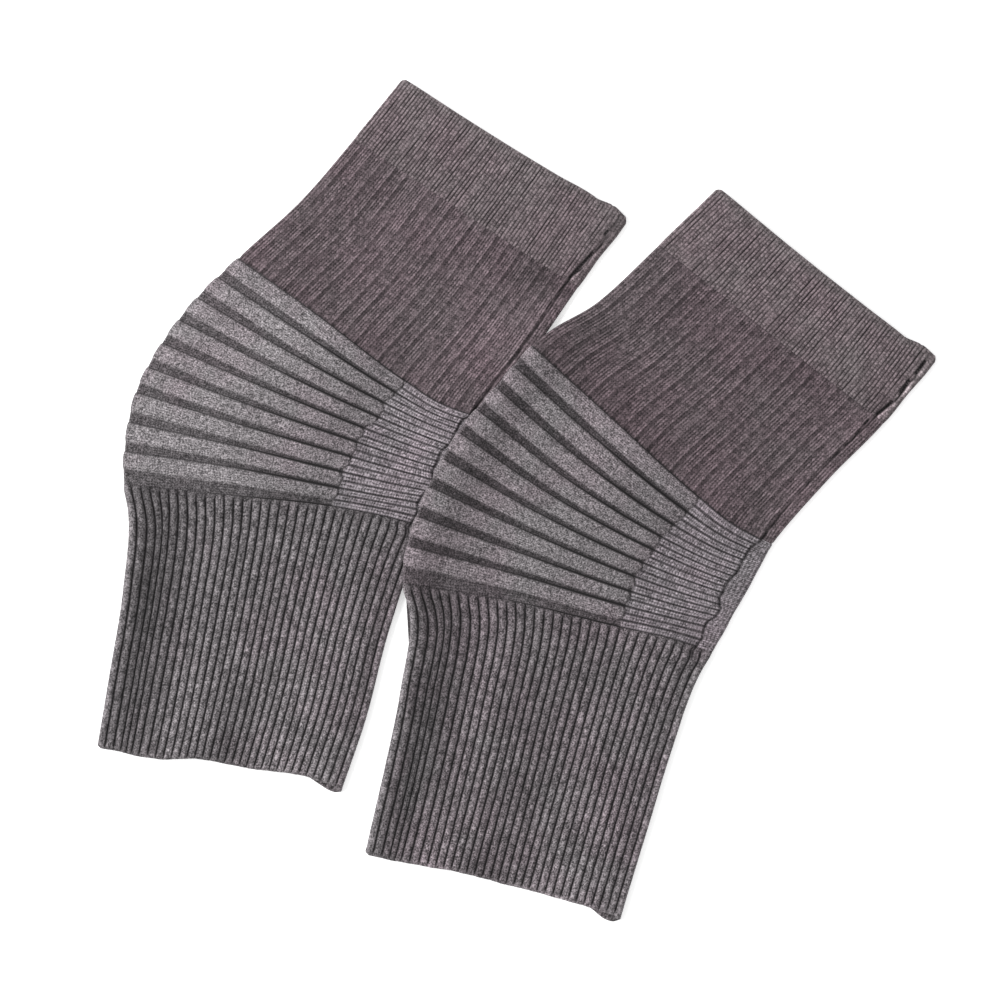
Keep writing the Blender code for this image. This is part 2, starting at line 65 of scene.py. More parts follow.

# How dark the painted shade in the valleys is, how far the dark lines of the cuff and thigh waver, over what
# length and how many ribs, and what of them the plain strip past the seam takes away.
CUFF_SHADE, THIGH_SHADE, BACK_SHADE = 0.6, 0.3, 0.8
CUFF_LINE, CUFF_OWN, CUFF_WAVER, CUFF_WAVE = 0.8, 0.3, 0.3, (24.0, 2.3)
CUFF_LINE_SPAN, CUFF_OPENING, CUFF_FADE, CUFF_TONE = (0.1, 1.4), (0.4, 3.5), (0.35, 0.5, 5.0), 0.3
THIGH_WAVER, THIGH_WAVE, THIGH_TONE = 0.4, (60.0, 2.7), 0.45
THIGH_DIP, THIGH_DIP_DEPTH, THIGH_DIP_SHADE = 3.0, 0.35, 0.4
STRIP_PLAIN, PAST_SEAM = 0.8, 0.005

# The calf's ribs: how far each has its own height, where and how light they begin, where they end at the
# hem, and what is left there of their valleys' depth and of their tone, which nears one lightness.
CALF_OWN, CALF_START, CALF_ROUND, CALF_START_TONE = 0.1, (-0.5, 4.0), 1.2, 0.4
CALF_END, CALF_END_LEAST, CALF_TONE_LEAST, CALF_END_TONE = (0.3, 2.6), 0.4, 0.3, 0.8

# The knee's bands: how far they stand out at the front and at their ends, where that changes, the shape of
# their dome, their pitch and the length of their round tips. They are flatter close to the front fold.
BANDS, BAND_RISE, BAND_END_RISE, BAND_RISE_FROM = 9, 1.3, 0.6, 0.3
BAND_PITCH_FRONT, BAND_PITCH_BACK = 15.0, 6.8
DOME_SQUARE, DOME_STEEP = 3.2, 0.55
BAND_TIP = 3.2
FOLD_FLATTENS, FLAT_SHARE = 0.5, 0.05
FAN_END = 0.687

# How much of a band's pitch is raised and light, and how the dark stripe beside it begins and ends.
LIGHT_SHARE_FRONT, LIGHT_SHARE_END, LAST_BAND_SHARE = 0.66, 0.87, 0.8
LIGHT_FROM, LIGHT_TO = (0.1, 1.1), (0.5, -0.7)
GROOVE_LIFT = 0.22
LAST_STRIPE_TONE, LAST_STRIPE_FROM, STRIPE_FADE = 0.22, 2.0, 0.8

# The creases between the bands: half their width, their depth, what is left of them at the front, and where
# they come to the whole; their darkness is painted shadow under each band's upper edge. The rim at the front
# fold is plain and lighter, a painted highlight where the fold catches the light, and the hooks of painted
# shadow round the bands' ends are uneven.
BAND_CREASE, CREASE_DEPTH, CREASE_FRONT, CREASE_SPAN = 0.65, 0.3, 0.3, (0.25, 0.6)
FOLD_RIM, RIM_WIDTH, RIM_TAKES, RIM_TONE = 2.6, 3.0, 0.75, 0.7
HOOK, HOOK_UNEVEN, HOOK_LEAST, HOOK_WAVE = 0.3, 0.5, 0.05, (5.0, 1.7)
HOOK_PLACE, HOOK_WIDTH, TIP_PART, TIP_SPAN = 0.3, 0.8, 0.3, (-0.8, 0.4)

# Where a band gives way to the ribs behind the knee: outside its outline, and before its end.
RIBS_OUTSIDE, RIBS_BEFORE = (0.2, 0.9), (1.4, -0.4)

# The cloth has slipped a little here and there: how far and over what length, slowly and quickly. Stitches
# are moved to follow the seam and the bands' ends, from a share and over a length, and drawn together in the
# trough behind the calf's front fold.
SLIP, SLIP_LENGTH, SHAKE, SHAKE_LENGTH, SLIP_RING = 0.25, 95.0, 0.06, 5.0, 0.9
SEAM_SLIP_FROM, SEAM_SLIP_FADE = 0.84, 12.0
TURN_SPAN = (0.5, 0.86)
TROUGH_PLACE, TROUGH_SPREAD, TROUGH_DRAW, TROUGH_START = 0.12, 0.06, 0.32, 25.0
FOLD_HOLDS = 0.03

# How light the thigh's knit is across one repeat, from a wide dark groove to the next, partly the knit's own
# lines and partly painted shade in the groove: phase and lightness.
THIGH_REPEAT = (
    (0.0, 0.0),
    (0.1, 0.25),
    (0.19, 0.55),
    (0.29, 0.25),
    (0.4, 0.6),
    (0.52, 0.3),
    (0.65, 0.6),
    (0.78, 1.0),
    (0.9, 0.25),
    (1.0, 0.0),
)

# How light a rib of the calf is across it, from one valley to the next: phase and lightness. It is painted
# light and shade: dark towards each valley, and lightest before the rib's middle, on the side towards the
# front fold, where the key light comes from.
CALF_LIGHT_AND_SHADE = (
    (0.0, 0.0),
    (0.06, 0.15),
    (0.12, 0.45),
    (0.19, 0.78),
    (0.26, 0.97),
    (0.35, 1.0),
    (0.5, 0.94),
    (0.62, 0.86),
    (0.7, 0.76),
    (0.78, 0.56),
    (0.86, 0.32),
    (0.94, 0.1),
    (1.0, 0.0),
)

# The cuff's strip at the back seam stands past the rest of its edge, and so does the hem's lower layer near
# the back fold: how far, between which shares across it comes out, and what part of it is left at the fold.
STRIP_RISE, STRIP_SPAN, STRIP_LEFT = 3.3, (0.865, 0.955), 0.4
OVER_PEEK = (3.6, (0.875, 0.962), 0.38)
UNDER_PEEK = (3.0, (0.855, 0.965), 0.55)
STRIP_CORNER_SPAN = (0.98, 1.0)
CORNER_SPAN = (0.968, 1.0)
UPPER_CORNER_SPAN = (0.985, 1.0)
STRIP_DENT, DENT_PLACE, DENT_WIDTH = 0.1, 0.936, 0.005
LET_OUT_LENGTH, PEEK_LENGTH = 12.0, 10.0

# The front corners are drawn in a little, and the hem is fluted by its ribs and uneven.
FRONT_CORNER, FRONT_CORNER_SHARE = 1.2, 0.02
FLUTE, HEM_UNEVEN, HEM_WAVES, HEM_RISE = 0.12, 0.15, 9.0, 0.1

# How far an edge is rounded off, and what part of the wall that takes.
EDGE_ROUND, EDGE_DROP = 1.1, 0.55

# How far the cuff's back corner bulges out across, beyond the straight fold, and where.
CORNER_PUSH, PUSH_SPAN, PUSH_FADE = 1.3, (0.9, 1.0), (24.0, 4.0)

# The pair's middle, taken off so that the origin is under the middle of its box.
MIDDLE_X, MIDDLE_Y = 0.23, 0.5

# Lines across a warmer, from its front fold to its back fold, and how far each bows towards the calf
# at 0.35, 0.69 and 0.86 of the way: name, front x, front y, back x, back y, and the three bows.
OVER_LINES = (
    ("cuff_top", 101.8, 156.3, 208.1, 69.4, 0.3, -0.4, -1.0),
    ("cuff_end", 71.8, 127.5, 184.3, 38.5, 0.3, 0.5, 0.3),
    ("thigh_middle", 42.1, 99.7, 156.8, 10.5, 0.6, 1.0, 0.8),
    ("band_1", 8.3, 77.0, 128.3, -22.5, 2.3, 4.6, 4.4),
    ("band_3", -9.8, 56.5, 122.3, -33.0, 6.2, 7.3, 5.0),
    ("band_5", -28.3, 34.0, 116.3, -44.0, 5.8, 5.7, 3.5),
    ("band_7", -43.3, 7.0, 110.3, -54.5, 2.9, 3.7, 2.3),
    ("band_9", -53.8, -22.5, 104.3, -65.5, -0.2, 0.8, 0.5),
    ("calf_top", -56.3, -41.5, 98.3, -76.0, -3.0, -2.0, -2.0),
    ("calf_start", -53.0, -54.0, 92.3, -86.0, -2.6, -1.8, -1.6),
    ("calf_middle", -57.0, -95.0, 77.3, -126.5, -1.2, -1.5, -1.0),
    ("calf_low", -64.7, -132.5, 65.8, -164.0, -0.8, -1.5, -1.0),
    ("hem", -75.0, -177.2, 52.3, -208.4, -1.0, -2.2, -2.0),
)
UNDER_LINES = (
    ("cuff_top", -55.9, 211.0, 53.4, 138.5, -0.5, -2.1, -3.4),
    ("cuff_end", -80.8, 180.5, 31.3, 106.5, 0.3, 0.8, 0.5),
    ("thigh_middle", -107.3, 149.8, 8.3, 73.5, 0.5, 1.5, 1.5),
    ("band_1", -138.8, 121.0, -16.8, 41.0, 2.0, 5.2, 5.0),
    ("band_3", -159.2, 101.4, -22.3, 30.0, 2.9, 3.6, 2.6),
    ("band_5", -176.8, 78.6, -27.8, 19.0, 1.6, 2.0, 1.4),
    ("band_7", -189.8, 54.0, -33.3, 8.0, 0.8, 0.7, 0.5),
    ("band_9", -195.6, 24.5, -38.8, -3.0, -1.5, -0.4, 0.0),
    ("calf_top", -195.9, 8.0, -44.3, -14.0, -2.0, -3.8, -2.6),
    ("calf_start", -193.6, -5.0, -50.3, -26.5, -1.8, -3.0, -2.2),
    ("calf_middle", -196.0, -45.0, -63.8, -65.5, -1.2, -1.6, -1.2),
    ("calf_low", -203.2, -90.0, -75.8, -111.0, -0.8, -1.6, -1.2),
    ("hem", -208.9, -123.8, -87.3, -144.4, -1.0, -3.2, -3.2),
)
BOW_PLACES = (0.0, 0.35, 0.69, 0.86, 1.0)

# Soft ridges and troughs in the upper layer: from x, y to x, y, half its width, and its rise.
OVER_FOLDS = (
    (-43.0, -52.0, -53.0, -160.0, 6.0, -0.8),
    (-30.0, -60.0, -40.0, -165.0, 8.0, 0.6),
    (-8.0, -150.0, -14.0, -192.0, 8.0, -0.6),
    (62.0, -142.0, 50.0, -200.0, 6.0, -0.6),
    (120.0, 78.0, 86.0, 36.0, 12.0, 0.6),
    (150.0, 30.0, 118.0, -4.0, 8.0, -0.5),
)
UNDER_FOLDS = (
    (-183.0, -10.0, -195.0, -102.0, 6.0, -0.8),
    (-170.0, -18.0, -180.0, -100.0, 8.0, 0.7),
    (-132.0, -92.0, -144.0, -134.0, 8.0, -0.7),
    (-74.0, -66.0, -86.0, -130.0, 6.0, -0.6),
    (-30.0, 138.0, -52.0, 98.0, 11.0, 1.1),
    (2.0, 118.0, -18.0, 86.0, 8.0, -0.9),
)

# Slits, puckers and tight stitches by the seam of the cuff and thigh: from x, y to x, y, half its width, how
# deep it is drawn in and darkened with painted shade, and how much lighter the lip of cloth is that stands
# up beside it, a painted highlight.
MARK_END, MARK_SHADE = 0.8, 1.8
LIP_PLACE, LIP_WIDTH, LIP_RISE = 1.9, 0.8, 0.2
OVER_MARKS = (
    (203.7, 71.0, 198.7, 64.0, 0.75, 0.8, 1.2),
    (196.2, 61.0, 194.7, 59.5, 0.75, 0.8, 1.6),
    (195.2, 59.0, 191.7, 54.0, 0.9, 0.9, 1.8),
    (188.2, 50.0, 179.7, 43.0, 0.85, 0.9, 1.4),
    (176.2, 41.0, 173.2, 38.0, 0.65, 0.7, 0.3),
    (172.0, 36.0, 168.2, 31.0, 0.55, 0.5, 0.2),
    (166.6, 29.6, 163.7, 27.5, 0.5, 0.5, 0.2),
    (161.8, 25.8, 157.2, 21.0, 0.5, 0.4, 0.1),
    (194.3, 58.1, 193.4, 57.1, 0.5, 0.0, 2.4),
    (190.2, 53.2, 189.3, 52.2, 0.5, 0.0, 2.4),
    (180.8, 43.8, 179.8, 42.9, 0.5, 0.0, 2.4),
    (118.0, 84.5, 126.0, 78.0, 0.9, 0.15, 0.1),
    (162.0, 55.5, 172.0, 47.0, 0.9, 0.2, 0.15),
)
UNDER_MARKS = (
    (38.2, 124.5, 26.2, 111.5, 0.8, 0.9, 1.5),
    (36.2, 139.0, 31.2, 134.0, 0.5, 0.4, 0.2),
    (45.2, 136.0, 43.2, 133.5, 0.6, 0.7, 0.3),
    (24.8, 109.0, 20.6, 104.2, 0.5, 0.5, 0.3),
    (17.6, 100.0, 14.4, 95.6, 0.5, 0.4, 0.2),
    (49.3, 145.2, 48.4, 144.1, 0.5, 0.0, 0.9),
    (-27.6, 141.0, -17.5, 129.0, 1.1, 0.2, 0.2),
    (0.0, 118.0, 8.5, 113.5, 1.5, 0.12, 0.3),
    (11.0, 114.0, 20.5, 107.5, 1.4, 0.22, 0.3),
)

# The yarn's slow changes of lightness and hue: how strong, over what length, and how often across. Then
# places where the cloth is drawn lighter or darker, mostly painted light and shade on troughs and folds and
# a soft painted shadow under the cuff, with some of the yarn's own differences of lightness, and where it is
# more green than red: the zone, the share across and half its spread, the part of the zone's length and half
# its spread (ALONG where it goes past the ends), and the changes of lightness and hue.
DRIFT, DRIFT_LENGTH, DRIFT_ACROSS = 0.06, 60.0, 3.0
TINT, TINT_LENGTH, TINT_ACROSS = 0.25, 80.0, 2.0
ALONG = 9.0
OVER_LIGHT_AND_HUE_STROKES = (
    ("thigh_cuff", 0.0, 0.02, 0.5, ALONG, 0.15, 0.3),
    ("thigh_cuff", 0.5, ALONG, 0.0, 0.1, -0.12, 1.3),
    ("thigh_cuff", 0.99, 0.02, 0.4, 0.5, 0.1, 1.2),
    ("thigh_cuff", 0.5, ALONG, 0.95, 0.3, -0.12, 0.0),
    ("thigh_sleeve", 0.03, 0.08, 0.35, 0.5, 0.0, 0.9),
    ("thigh_sleeve", 0.93, 0.05, 0.2, 0.35, 0.3, 0.0),
    ("thigh_sleeve", 0.97, 0.05, 0.75, 0.35, 0.2, 0.0),
    ("thigh_sleeve", 0.4, 0.45, 1.0, 0.2, -0.16, 0.0),
    ("knee", 0.01, 0.03, 0.5, ALONG, 0.08, -0.5),
    ("knee", 0.4, 0.12, 0.5, ALONG, 0.12, 0.15),
    ("knee", 0.66, 0.035, 0.5, ALONG, -0.14, 0.0),
    ("knee", 0.85, 0.14, 0.5, ALONG, 0.12, -0.2),
    ("calf_sleeve", 0.015, 0.02, 0.5, ALONG, 0.45, 0.9),
    ("calf_sleeve", 0.1, 0.08, 0.5, 1.2, -0.36, 0.0),
    ("calf_sleeve", 0.14, 0.09, 0.35, 0.35, -0.22, 0.0),
    ("calf_sleeve", 0.13, 0.045, 0.7, 0.12, -0.1, 1.6),
    ("calf_sleeve", 0.2, 0.16, 0.0, 0.2, -0.12, 0.0),
    ("calf_sleeve", 0.3, 0.07, 0.6, ALONG, 0.12, 0.0),
    ("calf_sleeve", 0.55, 0.14, 0.5, ALONG, -0.1, 0.0),
    ("calf_sleeve", 0.8, 0.2, 0.85, 0.3, 0.16, 0.0),
    ("calf_sleeve", 0.75, 0.2, 0.5, ALONG, 0.1, 0.0),
    ("calf_sleeve", 0.945, 0.014, 0.42, 0.25, -0.24, 0.0),
    ("calf_sleeve", 0.98, 0.015, 0.5, ALONG, 0.25, 0.0),
    ("calf_sleeve", 0.25, 0.08, 0.97, 0.12, 0.3, 0.0),
    ("calf_sleeve", 0.75, 0.12, 0.97, 0.12, 0.3, 0.0),
    ("calf_sleeve", 0.45, 0.06, 0.97, 0.1, -0.08, 0.0),
)
UNDER_LIGHT_AND_HUE_STROKES = (
    ("thigh_cuff", 0.0, 0.02, 0.5, ALONG, 0.15, 0.0),
    ("thigh_cuff", 0.5, ALONG, 0.0, 0.1, -0.08, 0.9),
    ("thigh_cuff", 0.5, ALONG, 0.95, 0.3, -0.12, 0.0),
    ("thigh_cuff", 0.97, 0.025, 0.5, ALONG, -0.28, 0.0),
    ("thigh_sleeve", 0.5, ALONG, 0.3, 0.5, 0.08, 0.0),
    ("thigh_sleeve", 0.68, 0.08, 0.45, 0.35, 0.14, 0.0),
    ("thigh_sleeve", 0.88, 0.09, 0.5, 0.35, 0.3, 0.0),
    ("thigh_sleeve", 0.87, 0.15, 0.03, 0.14, -0.3, 0.0),
    ("knee", 0.0, 0.012, 0.5, ALONG, -0.25, 0.0),
    ("knee", 0.25, 0.3, 0.5, ALONG, 0.3, 0.15),
    ("knee", 0.25, 0.4, 1.0, 0.6, 0.0, 0.7),
    ("knee", 0.62, 0.06, 0.5, ALONG, -0.16, 0.0),
    ("knee", 0.87, 0.13, 0.5, ALONG, 0.3, -0.4),
    ("calf_sleeve", 0.25, 0.45, 0.5, ALONG, 0.0, 0.9),
    ("calf_sleeve", 0.01, 0.012, 0.5, ALONG, 0.25, 0.0),
    ("calf_sleeve", 0.12, 0.09, 0.4, 0.8, -0.42, 0.0),
    ("calf_sleeve", 0.085, 0.035, 0.42, 0.3, -0.4, 0.0),
    ("calf_sleeve", 0.3, 0.1, 0.6, 0.5, 0.12, 0.0),
    ("calf_sleeve", 0.75, 0.15, 0.75, 0.6, 0.34, 0.0),
    ("calf_sleeve", 0.7, 0.12, 0.0, 0.25, -0.12, 0.0),
    ("calf_sleeve", 0.945, 0.014, 0.5, 0.25, -0.35, 0.0),
    ("calf_sleeve", 0.985, 0.015, 0.5, ALONG, 0.2, 0.0),
    ("calf_sleeve", 0.3, 0.09, 0.85, 0.25, 0.16, 0.0),
    ("calf_sleeve", 0.75, 0.12, 0.97, 0.12, 0.15, 0.0),
    ("calf_sleeve", 0.53, 0.07, 0.93, 0.12, -0.28, 0.0),
)

# The hem's slow wave: the share across, half its spread, and how far it lengthens the calf there.
OVER_WAVE = ((0.36, 0.17, -1.5), (0.85, 0.14, 0.8))
UNDER_WAVE = ((0.22, 0.1, 1.3), (0.42, 0.11, -1.7), (0.64, 0.1, 0.4))

# The share across at which the creases between the bands end, from the thigh to the calf.
OVER_TURNS = (0.724, 0.721, 0.705, 0.693, 0.695, 0.687, 0.682, 0.691, 0.691, 0.698)
UNDER_TURNS = (0.712, 0.709, 0.696, 0.709, 0.684, 0.687, 0.692, 0.68, 0.686, 0.682)

# The back seam: length down, millimetres from the back fold, depth of its crease, and its raggedness.
SEAM = (
    (0.0, 4.6, 0.3, 0.0),
    (8.0, 4.2, 0.5, 0.2),
    (20.0, 3.8, 0.6, 0.3),
    (28.0, 3.9, 0.6, 0.3),
    (38.0, 6.2, 0.7, 0.3),
    (58.0, 6.4, 0.5, 0.2),
    (98.0, 7.0, 0.5, 0.2),
    (114.0, 6.3, 0.8, 0.2),
    (126.0, 6.7, 1.1, 0.2),
    (130.0, 9.0, 1.1, 0.2),
    (144.0, 9.5, 1.1, 0.3),
    (152.0, 9.3, 1.1, 0.3),
    (159.0, 10.6, 1.1, 0.3),
    (166.0, 11.4, 1.1, 0.3),
    (180.0, 11.0, 1.1, 0.3),
    (188.0, 8.2, 1.1, 0.2),
    (196.0, 8.6, 1.1, 0.3),
    (202.0, 10.7, 1.1, 0.3),
    (209.0, 10.9, 1.1, 0.2),
    (215.0, 8.8, 1.0, 0.3),
    (225.0, 9.3, 0.8, 0.2),
    (232.0, 7.0, 0.4, 0.2),
    (240.0, 6.0, 0.0, 0.0),
    (380.0, 6.0, 0.0, 0.0),
)
SEAM_LENGTH = 361.4
SEAM_PLACE = 0.95
SEAM_WIDTH, SEAM_DEPTH, SEAM_SHADE, DARKEST = 0.6, 1.1, 1.4, 1.3
SEAM_DASH, SEAM_DASH_LENGTH = 0.28, 7.0
SEAM_STITCH = 3.1

# The strip past the seam behind the knee: its rows, how far it is puffed up, and where its whole width is.
STRIP_ROW, STRIP_TONE, STRIP_STEP = 1.5, 0.85, 0.006
STRIP_PUFF, STRIP_PUFF_LEAST, STRIP_WIDE = 0.45, 0.5, (8.0, 10.8)
BEAD, BEADS_ROUND = 0.12, 70.0

# Each warmer's looks. The stripe tone is how far the dark stripes between the bands are lit up at the front.
OVER_LOOKS = {
    "folds": OVER_FOLDS,
    "marks": OVER_MARKS,
    "strokes": OVER_LIGHT_AND_HUE_STROKES,
    "turns": OVER_TURNS,
    "peek": OVER_PEEK,
    "wave": OVER_WAVE,
    "stripe_tone": 0.02,
}
UNDER_LOOKS = {
    "folds": UNDER_FOLDS,
    "marks": UNDER_MARKS,
    "strokes": UNDER_LIGHT_AND_HUE_STROKES,
    "turns": UNDER_TURNS,
    "peek": UNDER_PEEK,
    "wave": UNDER_WAVE,
    "stripe_tone": 0.22,
}

# The zones: name, slot, between which lines, and between which places round.
ZONES = (
    ("thigh_cuff", "cuff_knit", "cuff_top", "cuff_end", 0.0, 2.0),
    ("thigh_sleeve", "thigh_knit", "cuff_end", "band_1", 0.0, 2.0),
    ("knee_fan", "fan_knit", "band_1", "calf_top", -FAN_END, FAN_END),
    ("knee_back", "back_knit", "band_1", "calf_top", FAN_END, 2.0 - FAN_END),
    ("calf_sleeve", "calf_knit", "calf_top", "hem", 0.0, 2.0),
)


def smooth(low, high, value):
    """0 below low, 1 above high, and an easy curve between."""
    part = np.clip((value - low) / (high - low), 0.0, 1.0)
    return part * part * (3.0 - 2.0 * part)


def bump(value, middle, half_width):
    """1 at the middle, falling off on both sides."""
    return np.exp(-(((value - middle) / half_width) ** 2))


def blend(first, second, part):
    """From the first value at part 0 to the second at part 1."""
    return first + (second - first) * part


def waver(seed, *places):
    """A smooth, uneven number from about -1 to 1 for each place, whose coordinates are in wavelengths."""
    total = 0.0
    for turn in range(6):
        angle = seed + 2.399 * turn
        along = 0.37 * turn + seed
        for number, place in enumerate(places):
            along = along + place * np.cos(angle + 1.9 * number) * (0.75 + 0.17 * turn)
        total = total + np.sin(2.0 * np.pi * along)
    return total / 3.0


def scatter(number, seed):
    """A number from -1 to 1 of its own for each whole number."""
    return (np.sin(number * 12.9898 + seed * 78.233) * 43758.5453) % 1.0 * 2.0 - 1.0


def curve_through(knots, values, at):
    """The smooth curve through values at knots, read at the places at. Values may have columns."""
    knots = np.asarray(knots, float)
    values = np.asarray(values, float)
    steps = np.diff(knots)
    spans = steps.reshape((-1,) + (1,) * (values.ndim - 1))
    slopes = np.diff(values, axis=0) / spans
    inner = (slopes[:-1] * spans[1:] + slopes[1:] * spans[:-1]) / (spans[1:] + spans[:-1])
    tangents = np.concatenate([slopes[:1], inner, slopes[-1:]])
    at = np.asarray(at, float)
    piece = np.clip(np.searchsorted(knots, at, side="right") - 1, 0, len(steps) - 1)
    wide = at.shape + (1,) * (values.ndim - 1)
    step = steps[piece].reshape(wide)
    part = (at - knots[piece]).reshape(wide) / step
    rest = 1.0 - part
    return (
        values[piece] * (1.0 + 2.0 * part) * rest**2
        + tangents[piece] * step * part * rest**2
        + values[piece + 1] * (1.0 + 2.0 * rest) * part**2
        - tangents[piece + 1] * step * rest * part**2
    )


def beside_line(spots, line):
    """(along, aside, length) of each spot, measured from a line given as from x, y to x, y."""
    start = np.array(line[:2])
    way = np.array(line[2:4]) - start
    length = np.hypot(*way)
    way = way / length
    along = (spots - start) @ way
    aside = (spots[..., 0] - start[0]) * way[1] - (spots[..., 1] - start[1]) * way[0]
    return along, aside, length


class Warmer:
    """One warmer: its lines across, its looks, and what it lies on."""

    def __init__(self, name, lines, looks, seed, lies_on=None):
        self.name = name
        self.folds, self.marks, self.strokes = looks["folds"], looks["marks"], looks["strokes"]
        self.turns, self.peek, self.wave = looks["turns"], looks["peek"], looks["wave"]
        self.stripe_tone = looks["stripe_tone"]
        self.seed = seed
        self.lies_on = lies_on
        self.table = np.array([line[1:] for line in lines])
        front, back = self.table[:, 0:2], self.table[:, 2:4]
        lengths = (np.hypot(*np.diff(front, axis=0).T) + np.hypot(*np.diff(back, axis=0).T)) / 2.0
        self.knots = np.concatenate([[0.0], np.cumsum(lengths)])
        self.down = {line[0]: knot for line, knot in zip(lines, self.knots)}
        self.bands = self.band_lines()
        along = np.linspace(0.0, self.knots[-1], BACK_FOLD_POINTS)
        self.back_fold = curve_through(self.knots, back, along)

    def band_lines(self):
        """Down at the upper edge of each band of the fan, and at the calf sleeve's top last."""
        odd = [self.down[f"band_{number}"] for number in range(1, BANDS + 1, 2)]
        places = np.interp(np.arange(BANDS), np.arange(0, BANDS, 2), odd)
        return np.append(places, self.down["calf_top"])

    def place(self, down, across):
        """X and Y of a place on the flat shape, the way across it, and the flat width there."""
        row = curve_through(self.knots, self.table, down)
        front, back = row[..., 0:2], row[..., 2:4]
        span = back - front
        width = np.hypot(span[..., 0], span[..., 1])
        way = span / width[..., None]
        to_calf = np.stack([way[..., 1], -way[..., 0]], axis=-1)
        unit_bows = np.vstack([np.zeros(3), np.eye(3), np.zeros(3)])
        bow = (curve_through(BOW_PLACES, unit_bows, across) * row[..., 4:7]).sum(axis=-1)
        return front + span * across[..., None] + to_calf * bow[..., None], way, width

    def width(self, down):
        return self.place(down, np.zeros_like(down))[2]

    def ground(self, spots):
        """Height of what the cloth lies on: the surface, or the other warmer where it overlaps that."""
        if self.lies_on is None:
            return np.zeros(spots.shape[:-1])
        return np.stack([self.climb(row) for row in spots])

    def climb(self, spots):
        """The rise over the other warmer's back fold, for a row of spots."""
        edge = self.lies_on.back_fold
        gaps = spots[:, None, :] - edge[None, :, :]
        nearest = np.argmin((gaps**2).sum(axis=-1), axis=1)
        along = np.gradient(edge, axis=0)[nearest]
        offset = gaps[np.arange(len(spots)), nearest]
        outside = (along[:, 0] * offset[:, 1] - along[:, 1] * offset[:, 0]) / np.hypot(*along.T)
        down = nearest * self.lies_on.knots[-1] / (len(edge) - 1)
        first, last = CROSSINGS
        beside = smooth(first - CROSSING_FADE, first, down) * smooth(last + CROSSING_FADE, last, down)
        return STACK_HEIGHT * smooth(-CLIMB, 0.0, -outside) * beside

    def loft(self, spots, down, from_front, from_back):
        """How far the upper layer stands off its lowest place, with its ridges and troughs."""
        back_edge = LOFT_EDGE if self.lies_on else PRESSED_EDGE
        window = smooth(0.0, LOFT_EDGE, from_front) * smooth(0.0, back_edge, from_back)
        knee_start, knee_end = self.down["band_1"], self.down["calf_top"]
        knee = smooth(knee_start - KNEE_LOFT_BEFORE, knee_start + KNEE_LOFT_AFTER, down)
        knee = knee * smooth(knee_end, knee_end - KNEE_LOFT_END, down)
        rise = LOFT + KNEE_LOFT * knee
        for fold in self.folds:
            half_width, height = fold[4:]
            along, aside, length = beside_line(spots, fold)
            ends = smooth(-half_width, half_width, along) * smooth(-half_width, half_width, length - along)
            rise = rise + height * ends * bump(aside, 0.0, half_width)
        uneven = waver(self.seed, spots[..., 0] / UNEVEN_LENGTH, spots[..., 1] / UNEVEN_LENGTH)
        return window * (rise + UNEVEN * uneven)


def around(place):
    """(share of the way across from the front fold, whether on the lower layer) of a place round."""
    place = place % 2.0
    lower = place > 1.0
    return np.where(lower, 2.0 - place, place), lower


def seam_reading(warmer, down):
    """Share and crease depth of the ragged back seam at each length down."""
    scale = warmer.down["hem"] / SEAM_LENGTH
    table = np.array(SEAM)
    from_back, depth, ragged = (np.interp(down, table[:, 0] * scale, table[:, n]) for n in (1, 2, 3))
    step = down / SEAM_STITCH
    sway = scatter(np.floor(step), 3.0 + warmer.seed) * (1.0 - step % 1.0)
    sway = sway + scatter(np.floor(step) + 1.0, 3.0 + warmer.seed) * (step % 1.0)
    return 1.0 - (from_back + ragged * sway) / warmer.width(down), depth


def seam_shift(warmer, down, place):
    """How far the knee's stitches are moved across, so that the same ones always lie at the seam."""
    seam, _ = seam_reading(warmer, down)
    beside = smooth(SEAM_SLIP_FROM, SEAM_PLACE, place) * smooth(1.0, SEAM_PLACE, place)
    first, last = warmer.down["band_1"], warmer.down["calf_top"]
    along = smooth(first - SEAM_SLIP_FADE, first, down)
    return (seam - SEAM_PLACE) * beside * along * smooth(last + SEAM_SLIP_FADE, last, down)


def turn_shift(warmer, down, place):
    """How far the knee's stitches are moved across, so that the same ones always lie where the bands end."""
    beside = smooth(TURN_SPAN[0], FAN_END, place) * smooth(TURN_SPAN[1], FAN_END, place)
    return (np.interp(down, warmer.bands, warmer.turns) - FAN_END) * beside


def trough_shift(warmer, down, place):
    """How far the calf's ribs are drawn together in the trough behind its front fold."""
    away = place - TROUGH_PLACE
    drawn = bump(away, 0.0, TROUGH_SPREAD) * smooth(0.0, FOLD_HOLDS, place)
    return -TROUGH_DRAW * away * drawn * smooth(0.0, TROUGH_START, down - warmer.down["calf_top"])


def slipped(warmer, zone_name, down, place):
    """The place round once the cloth has slipped a little here and there, with its ribs and stitches."""
    ring = (SLIP_RING * np.cos(np.pi * place), SLIP_RING * np.sin(np.pi * place))
    slip = SLIP * waver(warmer.seed + 1.0, down / SLIP_LENGTH, *ring)
    slip = slip + SHAKE * waver(warmer.seed + 2.0, down / SHAKE_LENGTH, *ring)
    moved = place + slip / warmer.width(down) + seam_shift(warmer, down, place)
    if zone_name.startswith("knee"):
        moved = moved + turn_shift(warmer, down, place)
    if zone_name == "calf_sleeve":
        moved = moved + trough_shift(warmer, down, place)
    return moved


